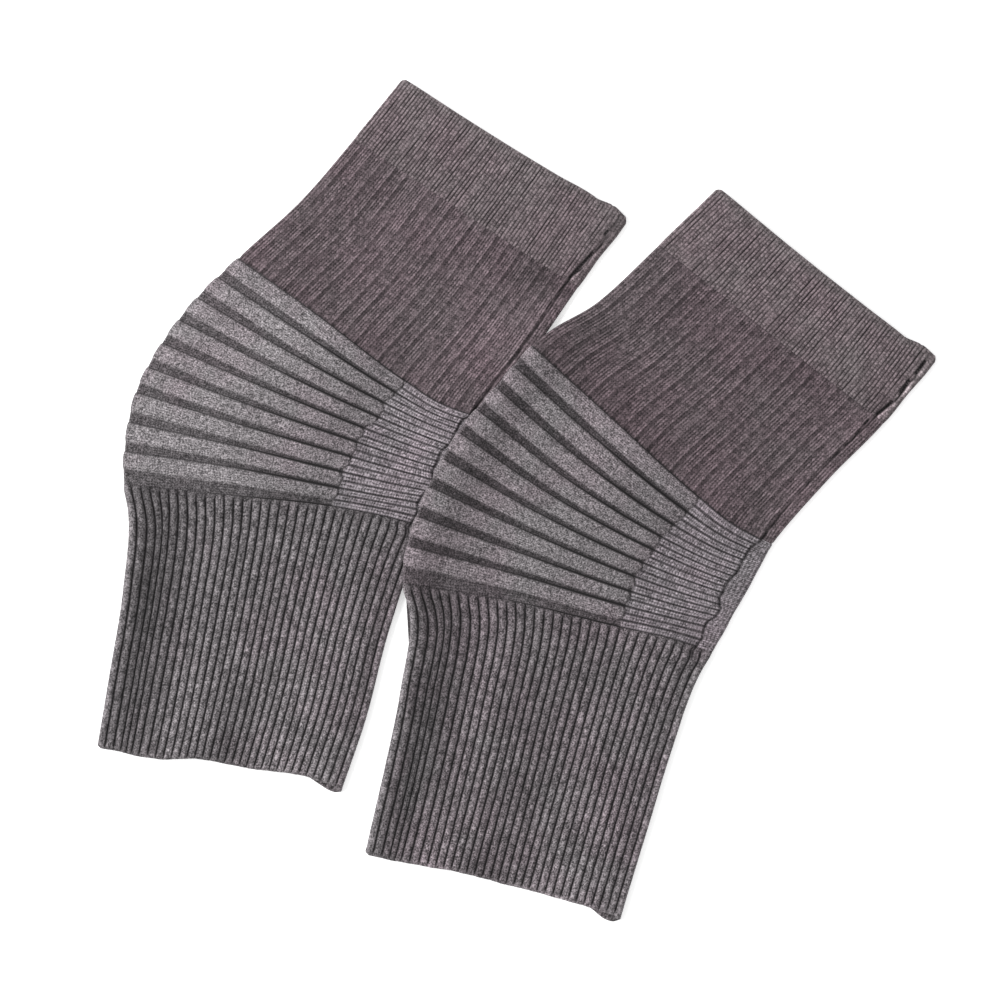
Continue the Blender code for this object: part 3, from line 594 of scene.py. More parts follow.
def shell_points(warmer, down, place, relief, inner=False):
    """Points of the cloth's outer or inner side, moved out by the relief."""
    share, lower = around(place)
    inset = WALL if inner else 0.0
    radius = FOLD_RADIUS - inset
    quarter = np.pi * radius / 2.0
    width = warmer.width(down)
    length = width - 2.0 * inset - 2.0 * radius + np.pi * radius
    walked = share * length
    from_tip = np.minimum(walked, length - walked)
    angle = np.clip(from_tip / radius, 0.0, np.pi / 2.0)
    reach = np.where(from_tip < quarter, radius * (1.0 - np.cos(angle)), radius + from_tip - quarter)
    half = np.where(from_tip < quarter, radius * np.sin(angle), radius)
    at_front = walked <= length / 2.0
    from_front = np.where(at_front, inset + reach, width - inset - reach)
    spots, way, _ = warmer.place(down, from_front / width)
    push = CORNER_PUSH * smooth(*PUSH_SPAN, share) * smooth(*PUSH_FADE, down)
    spots = spots + way * push[..., None]
    rise = warmer.loft(spots, down, from_front, width - from_front)
    side = np.where(lower, -1.0, 1.0)
    height = warmer.ground(spots) + FOLD_RADIUS + side * half + np.where(lower, 0.0, rise)
    # Relief stands out square to the cloth, and fades out under the lower layer, which is pressed flat.
    upright = half / radius
    fade = np.where(lower & (not inner), 1.0 - upright, 1.0)
    outward = np.where(at_front, -1.0, 1.0) * np.sqrt(np.clip(1.0 - upright**2, 0.0, 1.0))
    spots = spots + way * (relief * fade * outward)[..., None]
    height = height + relief * fade * upright * side
    return np.concatenate([spots, height[..., None]], axis=-1)


def round_rib(phase, squareness):
    """Height of a rib: 0 in the valley at phase 0, 1 at its crest at one half."""
    aside = np.abs(2.0 * (phase % 1.0) - 1.0)
    return np.sqrt(np.clip(1.0 - aside**squareness, 0.0, 1.0))


def valley_shade(phase, pitch, half_width):
    """1 in the valley between two ribs and 0 on them, by the distance from it in millimetres."""
    away = np.abs((phase + 0.5) % 1.0 - 0.5) * pitch
    return bump(away, 0.0, half_width)


def rounded_off(from_edge):
    """How far a cut edge is rounded off, by the distance from it."""
    part = np.clip(1.0 - from_edge / EDGE_ROUND, 0.0, 1.0)
    return EDGE_DROP * WALL * (1.0 - np.sqrt(1.0 - part**2))


def seam_form(warmer, down, place):
    """(relief, shade) of the back seam's crease, which is deeper and shallower in dashes."""
    share, lower = around(place)
    seam, depth = seam_reading(warmer, down)
    away = (share + seam_shift(warmer, down, place) - seam) * warmer.width(down)
    dashes = 1.0 - SEAM_DASH + SEAM_DASH * waver(warmer.seed + 5.0, down / SEAM_DASH_LENGTH)
    depth = np.where(lower, 0.0, depth * dashes)
    crease = bump(away, 0.0, SEAM_WIDTH)
    return -SEAM_DEPTH * depth * crease, crease * np.clip(SEAM_SHADE * depth, 0.0, DARKEST)


def mark_form(warmer, down, place):
    """(relief, shade, lip lightness) of the slits by the seam: drawn in and darkened with painted shade,
    with a painted highlight on the lip beside them.
    """
    share, lower = around(place)
    spots, _, _ = warmer.place(down, share)
    relief, shade, lip_highlight = (np.zeros(down.shape) for _ in range(3))
    for mark in warmer.marks:
        half_width, depth, lip = mark[4:]
        along, aside, length = beside_line(spots, mark)
        ends = smooth(-MARK_END, MARK_END, along) * smooth(-MARK_END, MARK_END, length - along) * ~lower
        slit = ends * bump(aside, 0.0, half_width)
        edge = ends * bump(aside, -LIP_PLACE * half_width, LIP_WIDTH * half_width)
        relief = relief - depth * slit + LIP_RISE * lip * edge
        shade = np.maximum(shade, slit * min(DARKEST, MARK_SHADE * depth))
        lip_highlight = lip_highlight + lip * edge
    return relief, shade, lip_highlight


def cuff_form(warmer, down, place):
    """(relief, tone, shade) of the cuff's ribs, each of its own height, rounded over at the opening, with
    painted shade in their valleys.
    """
    share, _ = around(place)
    phase = share * CUFF_RIBS
    valley = np.floor(phase + 0.5)
    crest = round_rib(phase, CUFF_TOP)
    line = CUFF_LINE + CUFF_OWN * scatter(valley, 1.0 + warmer.seed)
    line = line + CUFF_WAVER * waver(warmer.seed + 2.0, down / CUFF_WAVE[0], valley / CUFF_WAVE[1])
    at_opening, opening = CUFF_OPENING
    line = np.clip(line, *CUFF_LINE_SPAN) * blend(at_opening, 1.0, smooth(0.0, opening, down))
    line = line * (1.0 - STRIP_PLAIN * past_seam(warmer, down, share))
    least, past, before = CUFF_FADE
    end = warmer.down["cuff_end"]
    ending = blend(least, 1.0, smooth(end + past, end - before, down))
    relief = CUFF_RIB * (1.0 - (1.0 - crest) * line) * ending - rounded_off(down)
    shade = valley_shade(phase, warmer.width(down) / CUFF_RIBS, CUFF_VALLEY)
    return relief, 1.0 - (1.0 - crest) * blend(CUFF_TONE, 1.0, line), CUFF_SHADE * shade * line


def thigh_form(warmer, down, place):
    """(relief, tone, shade) of the thigh's flat knit, whose repeat has a dark groove, partly painted shade,
    and a bright wale.
    """
    share, _ = around(place)
    phase = share * THIGH_RIBS
    knots, lightness = np.array(THIGH_REPEAT).T
    tone = np.interp(phase % 1.0, knots, lightness)
    valley = np.floor(phase + 0.5)
    own = 1.0 + THIGH_WAVER * waver(warmer.seed + 4.0, down / THIGH_WAVE[0], valley / THIGH_WAVE[1])
    own = own * (1.0 - STRIP_PLAIN * past_seam(warmer, down, share))
    dip = smooth(warmer.down["band_1"] - THIGH_DIP, warmer.down["band_1"], down)
    relief = THIGH_RIB * tone - THIGH_DIP_DEPTH * dip
    shade = valley_shade(phase, warmer.width(down) / THIGH_RIBS, THIGH_VALLEY) * own
    return relief, blend(THIGH_TONE, tone, own), THIGH_SHADE * shade + THIGH_DIP_SHADE * dip**3


def past_seam(warmer, down, share):
    """1 on the plain strip between the back seam and the back fold."""
    seam, _ = seam_reading(warmer, down)
    return smooth(0.0, PAST_SEAM, share - seam)


def light_share(share):
    """How much of a band's pitch its raised part takes."""
    return blend(LIGHT_SHARE_FRONT, LIGHT_SHARE_END, np.clip(share / FAN_END, 0.0, 1.0))


def band_pitch(share):
    """A band's width with the stripe beside it."""
    return blend(BAND_PITCH_FRONT, BAND_PITCH_BACK, share)


def band_place(warmer, down, share):
    """(band number, phase in it, share of it that is raised) at each place of the knee."""
    band = np.clip(np.searchsorted(warmer.bands, down, side="right") - 1, 0, BANDS - 1)
    start, end = warmer.bands[band], warmer.bands[band + 1]
    phase = np.clip((down - start) / (end - start), 0.0, 1.0)
    return band, phase, light_share(share) * np.where(band == BANDS - 1, LAST_BAND_SHARE, 1.0)


def from_band_tip(warmer, down, share):
    """(length still to go to a band's end, distance outside the round outline of its raised part)."""
    _, phase, light = band_place(warmer, down, share)
    pitch = band_pitch(share)
    half = light * pitch / 2.0
    to_end = (FAN_END - share) * warmer.width(down)
    tip = np.clip(1.0 - to_end / BAND_TIP, 0.0, None) * half
    return to_end, np.hypot(phase * pitch - half, tip) - half


def band_form(warmer, down, share):
    """(relief, tone, shade) of a raised band: a crease darkened with painted shadow, a soft dome, then a
    slope into the dark stripe.
    """
    band, phase, light = band_place(warmer, down, share)
    pitch = band_pitch(share)
    to_end, outside = from_band_tip(warmer, down, share)
    inside = np.clip(phase / light, 0.0, 1.0)
    part_out = np.clip(1.0 + 2.0 * outside / (light * pitch), 0.0, 1.0)
    dome = (1.0 - part_out**DOME_SQUARE) ** DOME_STEEP
    stripe = np.clip((phase - light) / (1.0 - light), 0.0, 1.0)
    groove = GROOVE_LIFT * (1.0 - smooth(0.0, 1.0, stripe))
    rise = blend(BAND_RISE, BAND_END_RISE, smooth(BAND_RISE_FROM, FAN_END, share))
    rise = rise * (1.0 - FOLD_FLATTENS * smooth(FLAT_SHARE, 0.0, share))
    height = np.where(phase < light, np.maximum(dome, GROOVE_LIFT * inside), groove)
    rim = smooth(FOLD_RIM, FOLD_RIM - RIM_WIDTH, share * warmer.width(down))
    edge = np.minimum(phase, 1.0 - phase) * pitch
    # Painted shadow in the creases, less of it on the lit rim at the front fold.
    crease = bump(edge, 0.0, BAND_CREASE) * (1.0 - RIM_TAKES * rim)
    crease = crease * blend(CREASE_FRONT, 1.0, smooth(*CREASE_SPAN, share))
    uneven = HOOK + HOOK_UNEVEN * waver(warmer.seed + 7.0, down / HOOK_WAVE[0], band / HOOK_WAVE[1])
    at_tip = smooth(BAND_TIP, TIP_PART * BAND_TIP, to_end)
    hook = np.clip(uneven, HOOK_LEAST, 1.0) * bump(outside, HOOK_PLACE, HOOK_WIDTH * BAND_CREASE) * at_tip
    crease = np.maximum(crease, hook)
    past_light = (phase - light) * pitch
    tone = smooth(*LIGHT_FROM, phase * pitch) * smooth(*LIGHT_TO, past_light)
    tone = tone * (1.0 - at_tip * smooth(*TIP_SPAN, outside))
    # Painted light: the stripes lit up towards the front, and a painted highlight on the front fold's rim.
    floor_tone = warmer.stripe_tone * (1.0 - share / STRIPE_FADE) + (RIM_TONE - warmer.stripe_tone) * rim
    last_stripe = LAST_STRIPE_TONE * (band == BANDS - 1) * smooth(0.0, LAST_STRIPE_FROM, past_light)
    tone = np.maximum(tone, np.maximum(floor_tone, last_stripe))
    return rise * height - CREASE_DEPTH * crease, tone, crease


def rib_form(warmer, down, place):
    """(relief, tone, shade) of the ribs behind the knee, which run on from the bands, and of the strip, with
    painted shade in the ribs' valleys.
    """
    share, _ = around(place)
    band, phase, _ = band_place(warmer, down, share)
    count = np.where(band == BANDS - 1, LAST_BAND_RIBS, BAND_RIBS)
    ribs = phase * count
    crest = round_rib(ribs, BACK_TOP)
    beads = 1.0 + BEAD * waver(warmer.seed + 8.0, place * BEADS_ROUND, np.floor(ribs) + band * BAND_RIBS)
    shade = valley_shade(ribs, BAND_PITCH_BACK / count, BACK_VALLEY)
    strip = smooth(SEAM_PLACE, SEAM_PLACE + STRIP_STEP, share)
    seam, _ = seam_reading(warmer, down)
    puff = blend(STRIP_PUFF_LEAST, 1.0, smooth(*STRIP_WIDE, (1.0 - seam) * warmer.width(down)))
    relief = BACK_RIB * crest * beads * (1.0 - strip) + STRIP_PUFF * puff * strip
    return relief, blend(crest, STRIP_TONE, strip), BACK_SHADE * shade * (1.0 - strip)


def knee_form(warmer, down, place):
    """(relief, tone, shade) of the whole knee: bands that turn into ribs at their ends."""
    share, _ = around(place)
    to_end, outside = from_band_tip(warmer, down, share)
    ribbed = smooth(*RIBS_OUTSIDE, outside) * smooth(*RIBS_BEFORE, to_end)
    forms = zip(band_form(warmer, down, share), rib_form(warmer, down, place))
    return tuple(blend(band, rib, ribbed) for band, rib in forms)


def calf_form(warmer, down, place):
    """(relief, tone, shade) of the calf's coarse ribs, which start with round tops and end at the hem; their
    tone is painted light and shade across each rib.
    """
    share, _ = around(place)
    phase = share * CALF_RIBS
    crest = round_rib(phase, ROUND_TOP)
    own = 1.0 + CALF_OWN * scatter(np.floor(phase), 7.0 + warmer.seed)
    start, hem = warmer.down["calf_top"], warmer.down["hem"]
    before, after = CALF_START
    begun = np.sqrt(smooth(start + before, start + after, down - CALF_ROUND * (1.0 - crest)))
    ending = smooth(*CALF_END, hem - down)
    relief = CALF_RIB * (1.0 - (1.0 - crest) * blend(CALF_END_LEAST, 1.0, ending)) * own * begun
    relief = relief + GROOVE_LIFT * BAND_RISE * (1.0 - begun) - rounded_off(hem - down)
    knots, lightness = np.array(CALF_LIGHT_AND_SHADE).T
    tone = np.interp(phase % 1.0, knots, lightness)
    tone = blend(CALF_END_TONE, tone, blend(CALF_TONE_LEAST, 1.0, ending))
    shade = valley_shade(phase, warmer.width(down) / CALF_RIBS, CALF_VALLEY)
    return relief, tone * blend(CALF_START_TONE, 1.0, begun), shade * begun * ending


def yarn_drift_and_painted_light(warmer, zone, down, share):
    """(lightness, hue): the yarn's slow changes along and across, and the warmer's painted light and shade,
    with some changes of hue, laid on in soft patches.
    """
    name, _, from_line, to_line, _, _ = zone
    start, end = warmer.down[from_line], warmer.down[to_line]
    part = (down - start) / (end - start)
    lightness = 1.0 + DRIFT * waver(warmer.seed + 11.0, down / DRIFT_LENGTH, share * DRIFT_ACROSS)
    hue = TINT * waver(warmer.seed + 12.0, down / TINT_LENGTH, share * TINT_ACROSS)
    for zone_start, middle, half_width, along, half_length, lighter, greener in warmer.strokes:
        if name.startswith(zone_start):
            stroke = bump(share, middle, half_width) * bump(part, along, half_length)
            lightness = lightness * (1.0 + lighter * stroke)
            hue = hue + greener * stroke
    return lightness, hue


def rib_places(count, phases):
    """Places from the front fold to the back fold at the given phases of each rib, folds included."""
    places = [(rib + phase) / count for rib in range(count) for phase in phases]
    inside = [place for place in places if 1e-6 < place < 1.0 - 1e-6]
    return np.array([0.0] + inside + [1.0])


def seam_places(places):
    """The same places, with close ones round the back seam."""
    near = np.abs(places - SEAM_PLACE) < SEAM_NEAR
    extra = SEAM_PLACE + np.linspace(-SEAM_NEAR, SEAM_NEAR, SEAM_STEPS)
    return np.sort(np.concatenate([places[~near], extra]))


def even_steps(*runs):
    """Places in runs of (from, to, steps), each run's end included."""
    parts = [np.linspace(first, last, steps, endpoint=False) for first, last, steps in runs]
    return np.append(np.concatenate(parts), runs[-1][1])


# The mesh's columns: phases of each rib, and from share, to share and steps across the knee.
CUFF_PHASES = (0.0, 0.1, 0.28, 0.5, 0.72, 0.9)
THIGH_PHASES = (0.0, 0.05, 0.1, 0.19, 0.29, 0.4, 0.52, 0.58, 0.65, 0.71, 0.78, 0.84, 0.9, 0.95)
CALF_PHASES = (0.0, 0.035, 0.08, 0.14, 0.22, 0.33, 0.5, 0.67, 0.78, 0.86, 0.92, 0.965)
UNDER_PHASES = (0.0, 0.2, 0.5, 0.8)
FAN_RUNS = ((0.0, 0.03, 10), (0.03, 0.1, 10), (0.1, 0.64, 46), (0.64, FAN_END, 18))
BACK_RUNS = ((FAN_END, 0.7, 6), (0.7, 0.93, 28), (0.93, 0.97, 14), (0.97, 1.0, 12))
SEAM_NEAR, SEAM_STEPS = 0.016, 17

# The mesh's rows: steps along each zone and its ends, and parts of a band's light part and of its stripe.
CUFF_STEPS, THIGH_STEPS, CALF_STEPS = 56, 64, 74
EDGE_STEPS, DIP_STEPS, CALF_TOP_STEPS, CALF_TOP_LENGTH = 5, 6, 12, 6.0
LIGHT_ROWS = (
    0.0, 0.03, 0.06, 0.1, 0.15, 0.22, 0.31, 0.42, 0.52, 0.62, 0.72, 0.8, 0.86, 0.9, 0.94, 0.97, 1.0,
)
STRIPE_ROWS = (0.12, 0.25, 0.42, 0.6, 0.75, 0.86, 0.94)


def zone_places(zone_name):
    """Places round the tube for a zone's outer side, in walking order."""
    if zone_name == "knee_fan":
        side = even_steps(*FAN_RUNS)
        return np.concatenate([-side[::-1][:-1], side])
    if zone_name == "knee_back":
        side = seam_places(even_steps(*BACK_RUNS))
        return np.concatenate([side, 2.0 - side[::-1][1:]])
    count, phases = {
        "thigh_cuff": (CUFF_RIBS, CUFF_PHASES),
        "thigh_sleeve": (THIGH_RIBS, THIGH_PHASES),
        "calf_sleeve": (CALF_RIBS, CALF_PHASES),
    }[zone_name]
    upper = seam_places(rib_places(count, phases))
    under = rib_places(count, UNDER_PHASES)
    return np.concatenate([upper, 2.0 - under[::-1][1:]])


def zone_rows(warmer, zone_name, share):
    """Down at each row of a zone's outer side, for each share across."""
    down = warmer.down
    if zone_name == "thigh_cuff":
        rows = even_steps((0.0, EDGE_ROUND, EDGE_STEPS), (EDGE_ROUND, down["cuff_end"], CUFF_STEPS))
    elif zone_name == "thigh_sleeve":
        dip = down["band_1"] - THIGH_DIP
        rows = even_steps((down["cuff_end"], dip, THIGH_STEPS), (dip, down["band_1"], DIP_STEPS))
    elif zone_name == "calf_sleeve":
        top, edge, hem = down["calf_top"], down["hem"] - EDGE_ROUND, down["hem"]
        begun = top + CALF_TOP_LENGTH
        rows = even_steps((top, begun, CALF_TOP_STEPS), (begun, edge, CALF_STEPS), (edge, hem, EDGE_STEPS))
    else:
        return knee_rows(warmer, share)
    return np.repeat(rows[:, None], len(share), axis=1)


def knee_rows(warmer, share):
    """Rows of the knee: close at each band's crease and at the end of its raised part."""
    rows = []
    for band in range(BANDS):
        start, end = warmer.bands[band], warmer.bands[band + 1]
        light = light_share(share) * (LAST_BAND_SHARE if band == BANDS - 1 else 1.0)
        phases = [light * part for part in LIGHT_ROWS] + [blend(light, 1.0, part) for part in STRIPE_ROWS]
        rows += [blend(start, end, phase) for phase in phases]
    rows.append(np.full_like(share, warmer.bands[-1]))
    return np.array(rows)


FORMS = {
    "thigh_cuff": cuff_form,
    "thigh_sleeve": thigh_form,
    "knee_fan": knee_form,
    "knee_back": knee_form,
    "calf_sleeve": calf_form,
}


def let_out(share, span, corner_span, left):
    """How far out an edge is, as a part of the most: it comes out over the span, then some is left."""
    return smooth(*span, share) - (1.0 - left) * smooth(*corner_span, share)


def edge_shifts(warmer, zone_name, down, place):
    """Down after the cuff's strip and the hem's lower layer are let out past the edge."""
    share, lower = around(place)
    corner = FRONT_CORNER * smooth(FRONT_CORNER_SHARE, 0.0, share)
    if zone_name == "thigh_cuff":
        strip = let_out(share, STRIP_SPAN, STRIP_CORNER_SPAN, STRIP_LEFT)
        strip = strip - STRIP_DENT * bump(share, DENT_PLACE, DENT_WIDTH)
        return down + (corner - STRIP_RISE * strip) * smooth(LET_OUT_LENGTH, 0.0, down)
    if zone_name == "calf_sleeve":
        hem = warmer.down["hem"]
        rise, span, left = warmer.peek
        upper_corner = left * smooth(*UPPER_CORNER_SPAN, share)
        peek = np.where(lower, let_out(share, span, CORNER_SPAN, left), upper_corner)
        flute = FLUTE * round_rib(share * CALF_RIBS, ROUND_TOP)
        flute = flute + HEM_UNEVEN * waver(warmer.seed + 9.0, share * HEM_WAVES) + HEM_RISE
        slow = sum(height * bump(share, middle, half_width) for middle, half_width, height in warmer.wave)
        return down + smooth(hem - PEEK_LENGTH, hem, down) * (rise * peek + flute + (slow - corner))
    return down


# For each zone: the ribs on one side, how many stitches each is wide, how long a stitch is, and how many
# stitches the count is moved. The knee is knitted sideways, so its stitches are counted along its bands, and
# its wales run across them.
STITCHES = {
    "thigh_cuff": (CUFF_RIBS, 1, 1.35, 0.0),
    "thigh_sleeve": (THIGH_RIBS, 5, 1.7, 0.5),
    "calf_sleeve": (CALF_RIBS, 3, 2.4, 0.0),
}
BAND_WALES = 11
RIB_WALES = 2
FAN_COURSES = 120
BACK_COURSES = 110


def stitch_place(warmer, zone_name, down, place):
    """How many stitches across and how many courses along each place is."""
    if zone_name in STITCHES:
        ribs, wales, length, moved = STITCHES[zone_name]
        return place * ribs * wales + moved, down / length
    share, _ = around(place)
    band, phase, _ = band_place(warmer, down, share)
    if zone_name == "knee_fan":
        return (band + phase) * BAND_WALES, place * FAN_COURSES
    count = np.where(band == BANDS - 1, LAST_BAND_RIBS, BAND_RIBS)
    ribs = (band * BAND_RIBS + phase * count) * RIB_WALES
    return np.where(share > SEAM_PLACE, down / STRIP_ROW, ribs), place * BACK_COURSES


# What each point carries to the materials: the tone, the painted shade, the lightness with painted light and
# shade, and the hue.
READINGS = ("tone", "shade", "lightness_with_painted_light", "hue")

# How far an upper edge runs on under the zone before, and how deep.
TUCK_LENGTH, TUCK_DEPTH = 0.7, 0.5

# The inner side: its rows' distances from an opening, where its ribs fade and where painted shade darkens it
# further into the tube, what part of the ribs' height and of the rounding is left there, and how much
# lighter the crests are, kept out of that painted shade.
INNER_ROWS, INNER_CALF_ROWS = (0.0, 0.6, 2.0, 5.0, 10.0, 20.0), (100.0, 40.0)
INNER_FADE, INNER_SHADE = (24.0, 2.0), (0.5, 5.0)
INNER_RIB, INNER_DROP, INNER_LIGHT = 0.7, 0.5, 0.5


class Shell:
    """Points, faces and readings of a zone's cloth, gathered sheet by sheet."""

    def __init__(self):
        self.points, self.readings, self.faces = [], [], []
        self.count = 0

    def add_grid(self, points, readings):
        """A grid of points with their readings. Returns their numbers."""
        numbers = self.count + np.arange(points.shape[0] * points.shape[1]).reshape(points.shape[:2])
        self.points.append(points.reshape(-1, 3))
        self.readings.append(readings.reshape(-1, readings.shape[-1]))
        self.count += numbers.size
        return numbers

    def add_faces(self, numbers, flip=False):
        """Quads over a grid of point numbers."""
        corners = [numbers[:-1, :-1], numbers[1:, :-1], numbers[1:, 1:], numbers[:-1, 1:]]
        faces = np.stack(corners, axis=-1).reshape(-1, 4)
        self.faces.append(faces[:, ::-1] if flip else faces)

    def mesh(self, name):
        """The mesh, with its two meeting sides joined, its stitch map and its other readings."""
        points = (np.concatenate(self.points) - np.array([MIDDLE_X, MIDDLE_Y, 0.0])) * MM
        readings = np.concatenate(self.readings)
        faces = np.concatenate(self.faces)
        _, first, number = np.unique(np.round(points / (0.001 * MM)).astype(np.int64), axis=0,
                                     return_index=True, return_inverse=True)
        joined = number.reshape(-1)[faces]
        mesh = bpy.data.meshes.new(name)
        mesh.from_pydata(points[first].tolist(), [], joined.tolist())
        stitches = mesh.uv_layers.new(name="stitches")
        stitches.data.foreach_set("uv", readings[faces.reshape(-1), 0:2].astype(np.float32).ravel())
        for column, reading in enumerate(READINGS, start=2):
            layer = mesh.attributes.new(reading, "FLOAT", "POINT")
            layer.data.foreach_set("value", readings[first, column].astype(np.float32))
        mesh.update()
        mesh.shade_smooth()
        return mesh


def zone_shell(warmer, zone):
    """The cloth of one zone: with an inner side where it ends in an opening, or else a tucked upper edge."""
    name = zone[0]
    columns = zone_places(name)
    share, _ = around(columns)
    down = zone_rows(warmer, name, share)
    place = np.broadcast_to(columns, down.shape)
    moved_down = edge_shifts(warmer, name, down, place)
    moved_place = slipped(warmer, name, moved_down, place)
    relief, tone, shade = FORMS[name](warmer, down, place)
    seam_relief, seam_shade = seam_form(warmer, down, place)
    mark_relief, mark_shade, lip_highlight = mark_form(warmer, moved_down, moved_place)
    relief = relief + seam_relief + mark_relief
    shade = np.maximum(shade, np.maximum(seam_shade, mark_shade))
    lightness, hue = yarn_drift_and_painted_light(warmer, zone, down, share)
    # The lips' painted highlight.
    lightness = lightness * (1.0 + lip_highlight)
    readings = np.stack([*stitch_place(warmer, name, down, place), tone, shade, lightness, hue], axis=-1)
    shell = Shell()
    outer = shell.add_grid(shell_points(warmer, moved_down, moved_place, relief), readings)
    shell.add_faces(outer)
    if name in ("thigh_cuff", "calf_sleeve"):
        add_inner_side(shell, warmer, name, columns, outer)
    else:
        deep = np.full_like(relief[:1], -TUCK_DEPTH)
        tuck = shell_points(warmer, moved_down[:1] - TUCK_LENGTH, moved_place[:1], deep)
        tucked = shell.add_grid(tuck, readings[:1])
        shell.add_faces(np.vstack([tucked, outer[:1]]))
    return shell


def add_inner_side(shell, warmer, name, columns, outer):
    """The inner side of a zone that ends in an opening, joined to the outer side at both ends."""
    if name == "thigh_cuff":
        rows = np.array([*INNER_ROWS, warmer.down["cuff_end"]])
        from_opening = rows
        rib, count = CUFF_RIB, CUFF_RIBS
    else:
        top, hem = warmer.down["calf_top"], warmer.down["hem"]
        from_opening = np.array([hem - top, *INNER_CALF_ROWS, *INNER_ROWS[::-1]])
        rows = hem - from_opening
        rib, count = CALF_RIB, CALF_RIBS
    down = np.repeat(rows[:, None], len(columns), axis=1)
    place = np.broadcast_to(columns, down.shape)
    share, _ = around(place)
    near = smooth(*INNER_FADE, from_opening)[:, None]
    crest = round_rib(share * count, ROUND_TOP)
    relief = INNER_RIB * rib * near * crest + INNER_DROP * rounded_off(from_opening)[:, None]
    across, along = stitch_place(warmer, name, down, place)
    plain = np.ones_like(crest)
    # Painted shade deeper inside the tube, less of it on the crests.
    inside = smooth(*INNER_SHADE, from_opening)[:, None] * (1.0 - INNER_LIGHT * crest)
    readings = np.stack([across, along, crest, inside, plain, 0.0 * plain], axis=-1)
    moved_down = edge_shifts(warmer, name, down, place)
    moved_place = slipped(warmer, name, moved_down, place)
    inner = shell.add_grid(shell_points(warmer, moved_down, moved_place, relief, inner=True), readings)
    shell.add_faces(inner, flip=True)
    shell.add_faces(np.vstack([inner[:1], outer[:1]]))
    shell.add_faces(np.vstack([outer[-1:], inner[-1:]]))


# ---------------------------------------------------------------------------------------------------------
# Materials


def linear(red, green, blue):
    """A colour from its 0 to 255 display values."""
    values = np.array([red, green, blue]) / 255.0
    return (*np.where(values <= 0.04045, values / 12.92, ((values + 0.055) / 1.055) ** 2.4).tolist(), 1.0)


class Nodes:
    """Adds nodes to a material's tree and returns their sockets."""

    def __init__(self, tree):
        self.tree = tree

    def add(self, kind, inputs=None, **settings):
        node = self.tree.nodes.new(kind)
        for name, value in settings.items():
            setattr(node, name, value)
        for name, value in (inputs or {}).items():
            self.put(node.inputs[name], value)
        return node

    def put(self, socket, value):
        if isinstance(value, bpy.types.NodeSocket):
            self.tree.links.new(value, socket)
        else:
            socket.default_value = value

    def math(self, operation, first, second=0.0, clamp=False):
        node = self.add("ShaderNodeMath", {0: first, 1: second}, operation=operation, use_clamp=clamp)
        return node.outputs[0]

    def total(self, *values):
        """The sum of all the values."""
        result = values[0]
        for value in values[1:]:
            result = self.math("ADD", result, value)
        return result

    def times(self, *values):
        """The product of all the values."""
        result = values[0]
        for value in values[1:]:
            result = self.math("MULTIPLY", result, value)
        return result

    def wave(self, turns):
        """From -1 half-way through each turn to 1 at its ends."""
        return self.math("COSINE", self.times(turns, 2.0 * np.pi))

    def ramp(self, value, low, high, from_low=0.0, from_high=1.0):
        """The value taken from one range to another, held at its ends."""
        spread = {"Value": value, "From Min": from_low, "From Max": from_high, "To Min": low, "To Max": high}
        return self.add("ShaderNodeMapRange", spread, interpolation_type="SMOOTHSTEP").outputs["Result"]

    def mix(self, factor, first, second, blend="MIX"):
        node = self.add("ShaderNodeMix", data_type="RGBA", blend_type=blend)
        for socket, value in zip((node.inputs[0], node.inputs[6], node.inputs[7]), (factor, first, second)):
            self.put(socket, value)
        return node.outputs[2]

    def scaled(self, colour, factor):
        return self.add("ShaderNodeVectorMath", {0: colour, "Scale": factor}, operation="SCALE").outputs[0]

    def reading(self, name):
        return self.add("ShaderNodeAttribute", attribute_name=name).outputs["Fac"]

    def noise(self, where, scale, detail, roughness=0.55):
        inputs = {"Vector": where, "Scale": scale, "Detail": detail, "Roughness": roughness}
        return self.add("ShaderNodeTexNoise", inputs).outputs["Fac"]


# Each knit: its colour in the light parts and in the ground. Then how strongly its lightness changes from
# stitch to stitch, from fibre to fibre, course by course and wale by wale, how dark the painted shade is in
# its valleys, creases, slits and seam, how far light beads break them and the ground up, how far a stitch's
# two legs slant, and how high it stands.
KNIT_COLUMNS = "light ground stitch fibre course wale valley dashes slant height".split()
KNITS = {
    "cuff_knit": ((105, 95, 98), (66, 57, 60), 0.14, 0.27, 0.08, 0.1, 1.0, 0.25, 0.6, 0.12),
    "thigh_knit": ((93, 82, 86), (57, 49, 52), 0.14, 0.26, 0.1, 0.28, 1.0, 0.3, 0.9, 0.12),
    "fan_knit": ((102, 96, 99), (50, 46, 48), 0.12, 0.45, 0.08, 0.12, 0.97, 0.08, 0.9, 0.10),
    "back_knit": ((107, 101, 105), (60, 55, 58), 0.16, 0.36, 0.16, 0.26, 0.75, 0.3, 0.3, 0.14),
    "calf_knit": ((97, 91, 94), (45, 41, 43), 0.16, 0.46, 0.08, 0.06, 0.9, 0.34, 0.9, 0.10),
}
MAUVE, GREEN = (1.025, 0.985, 1.005, 1.0), (0.955, 1.005, 0.98, 1.0)
# The near-black colour of the painted shade in valleys, creases, slits and the seam.
PAINTED_SHADE_COLOUR = (17, 15, 16)
DISPLAY_POWER, LEAST_LIGHT = 2.2, 0.2

# Noise: how fine the fibres, the wales' patches and the broad and narrow patches of tint are, and the middle
# range of a noise that is spread out to its whole range.
FIBRES, WALE_PATCHES, BROAD, NARROW = 1350.0, 150.0, 25.0, 70.0
FIBRE_RANGE, PATCH_RANGE = (0.22, 0.78), (0.3, 0.7)
WALE_LEAST = 0.25

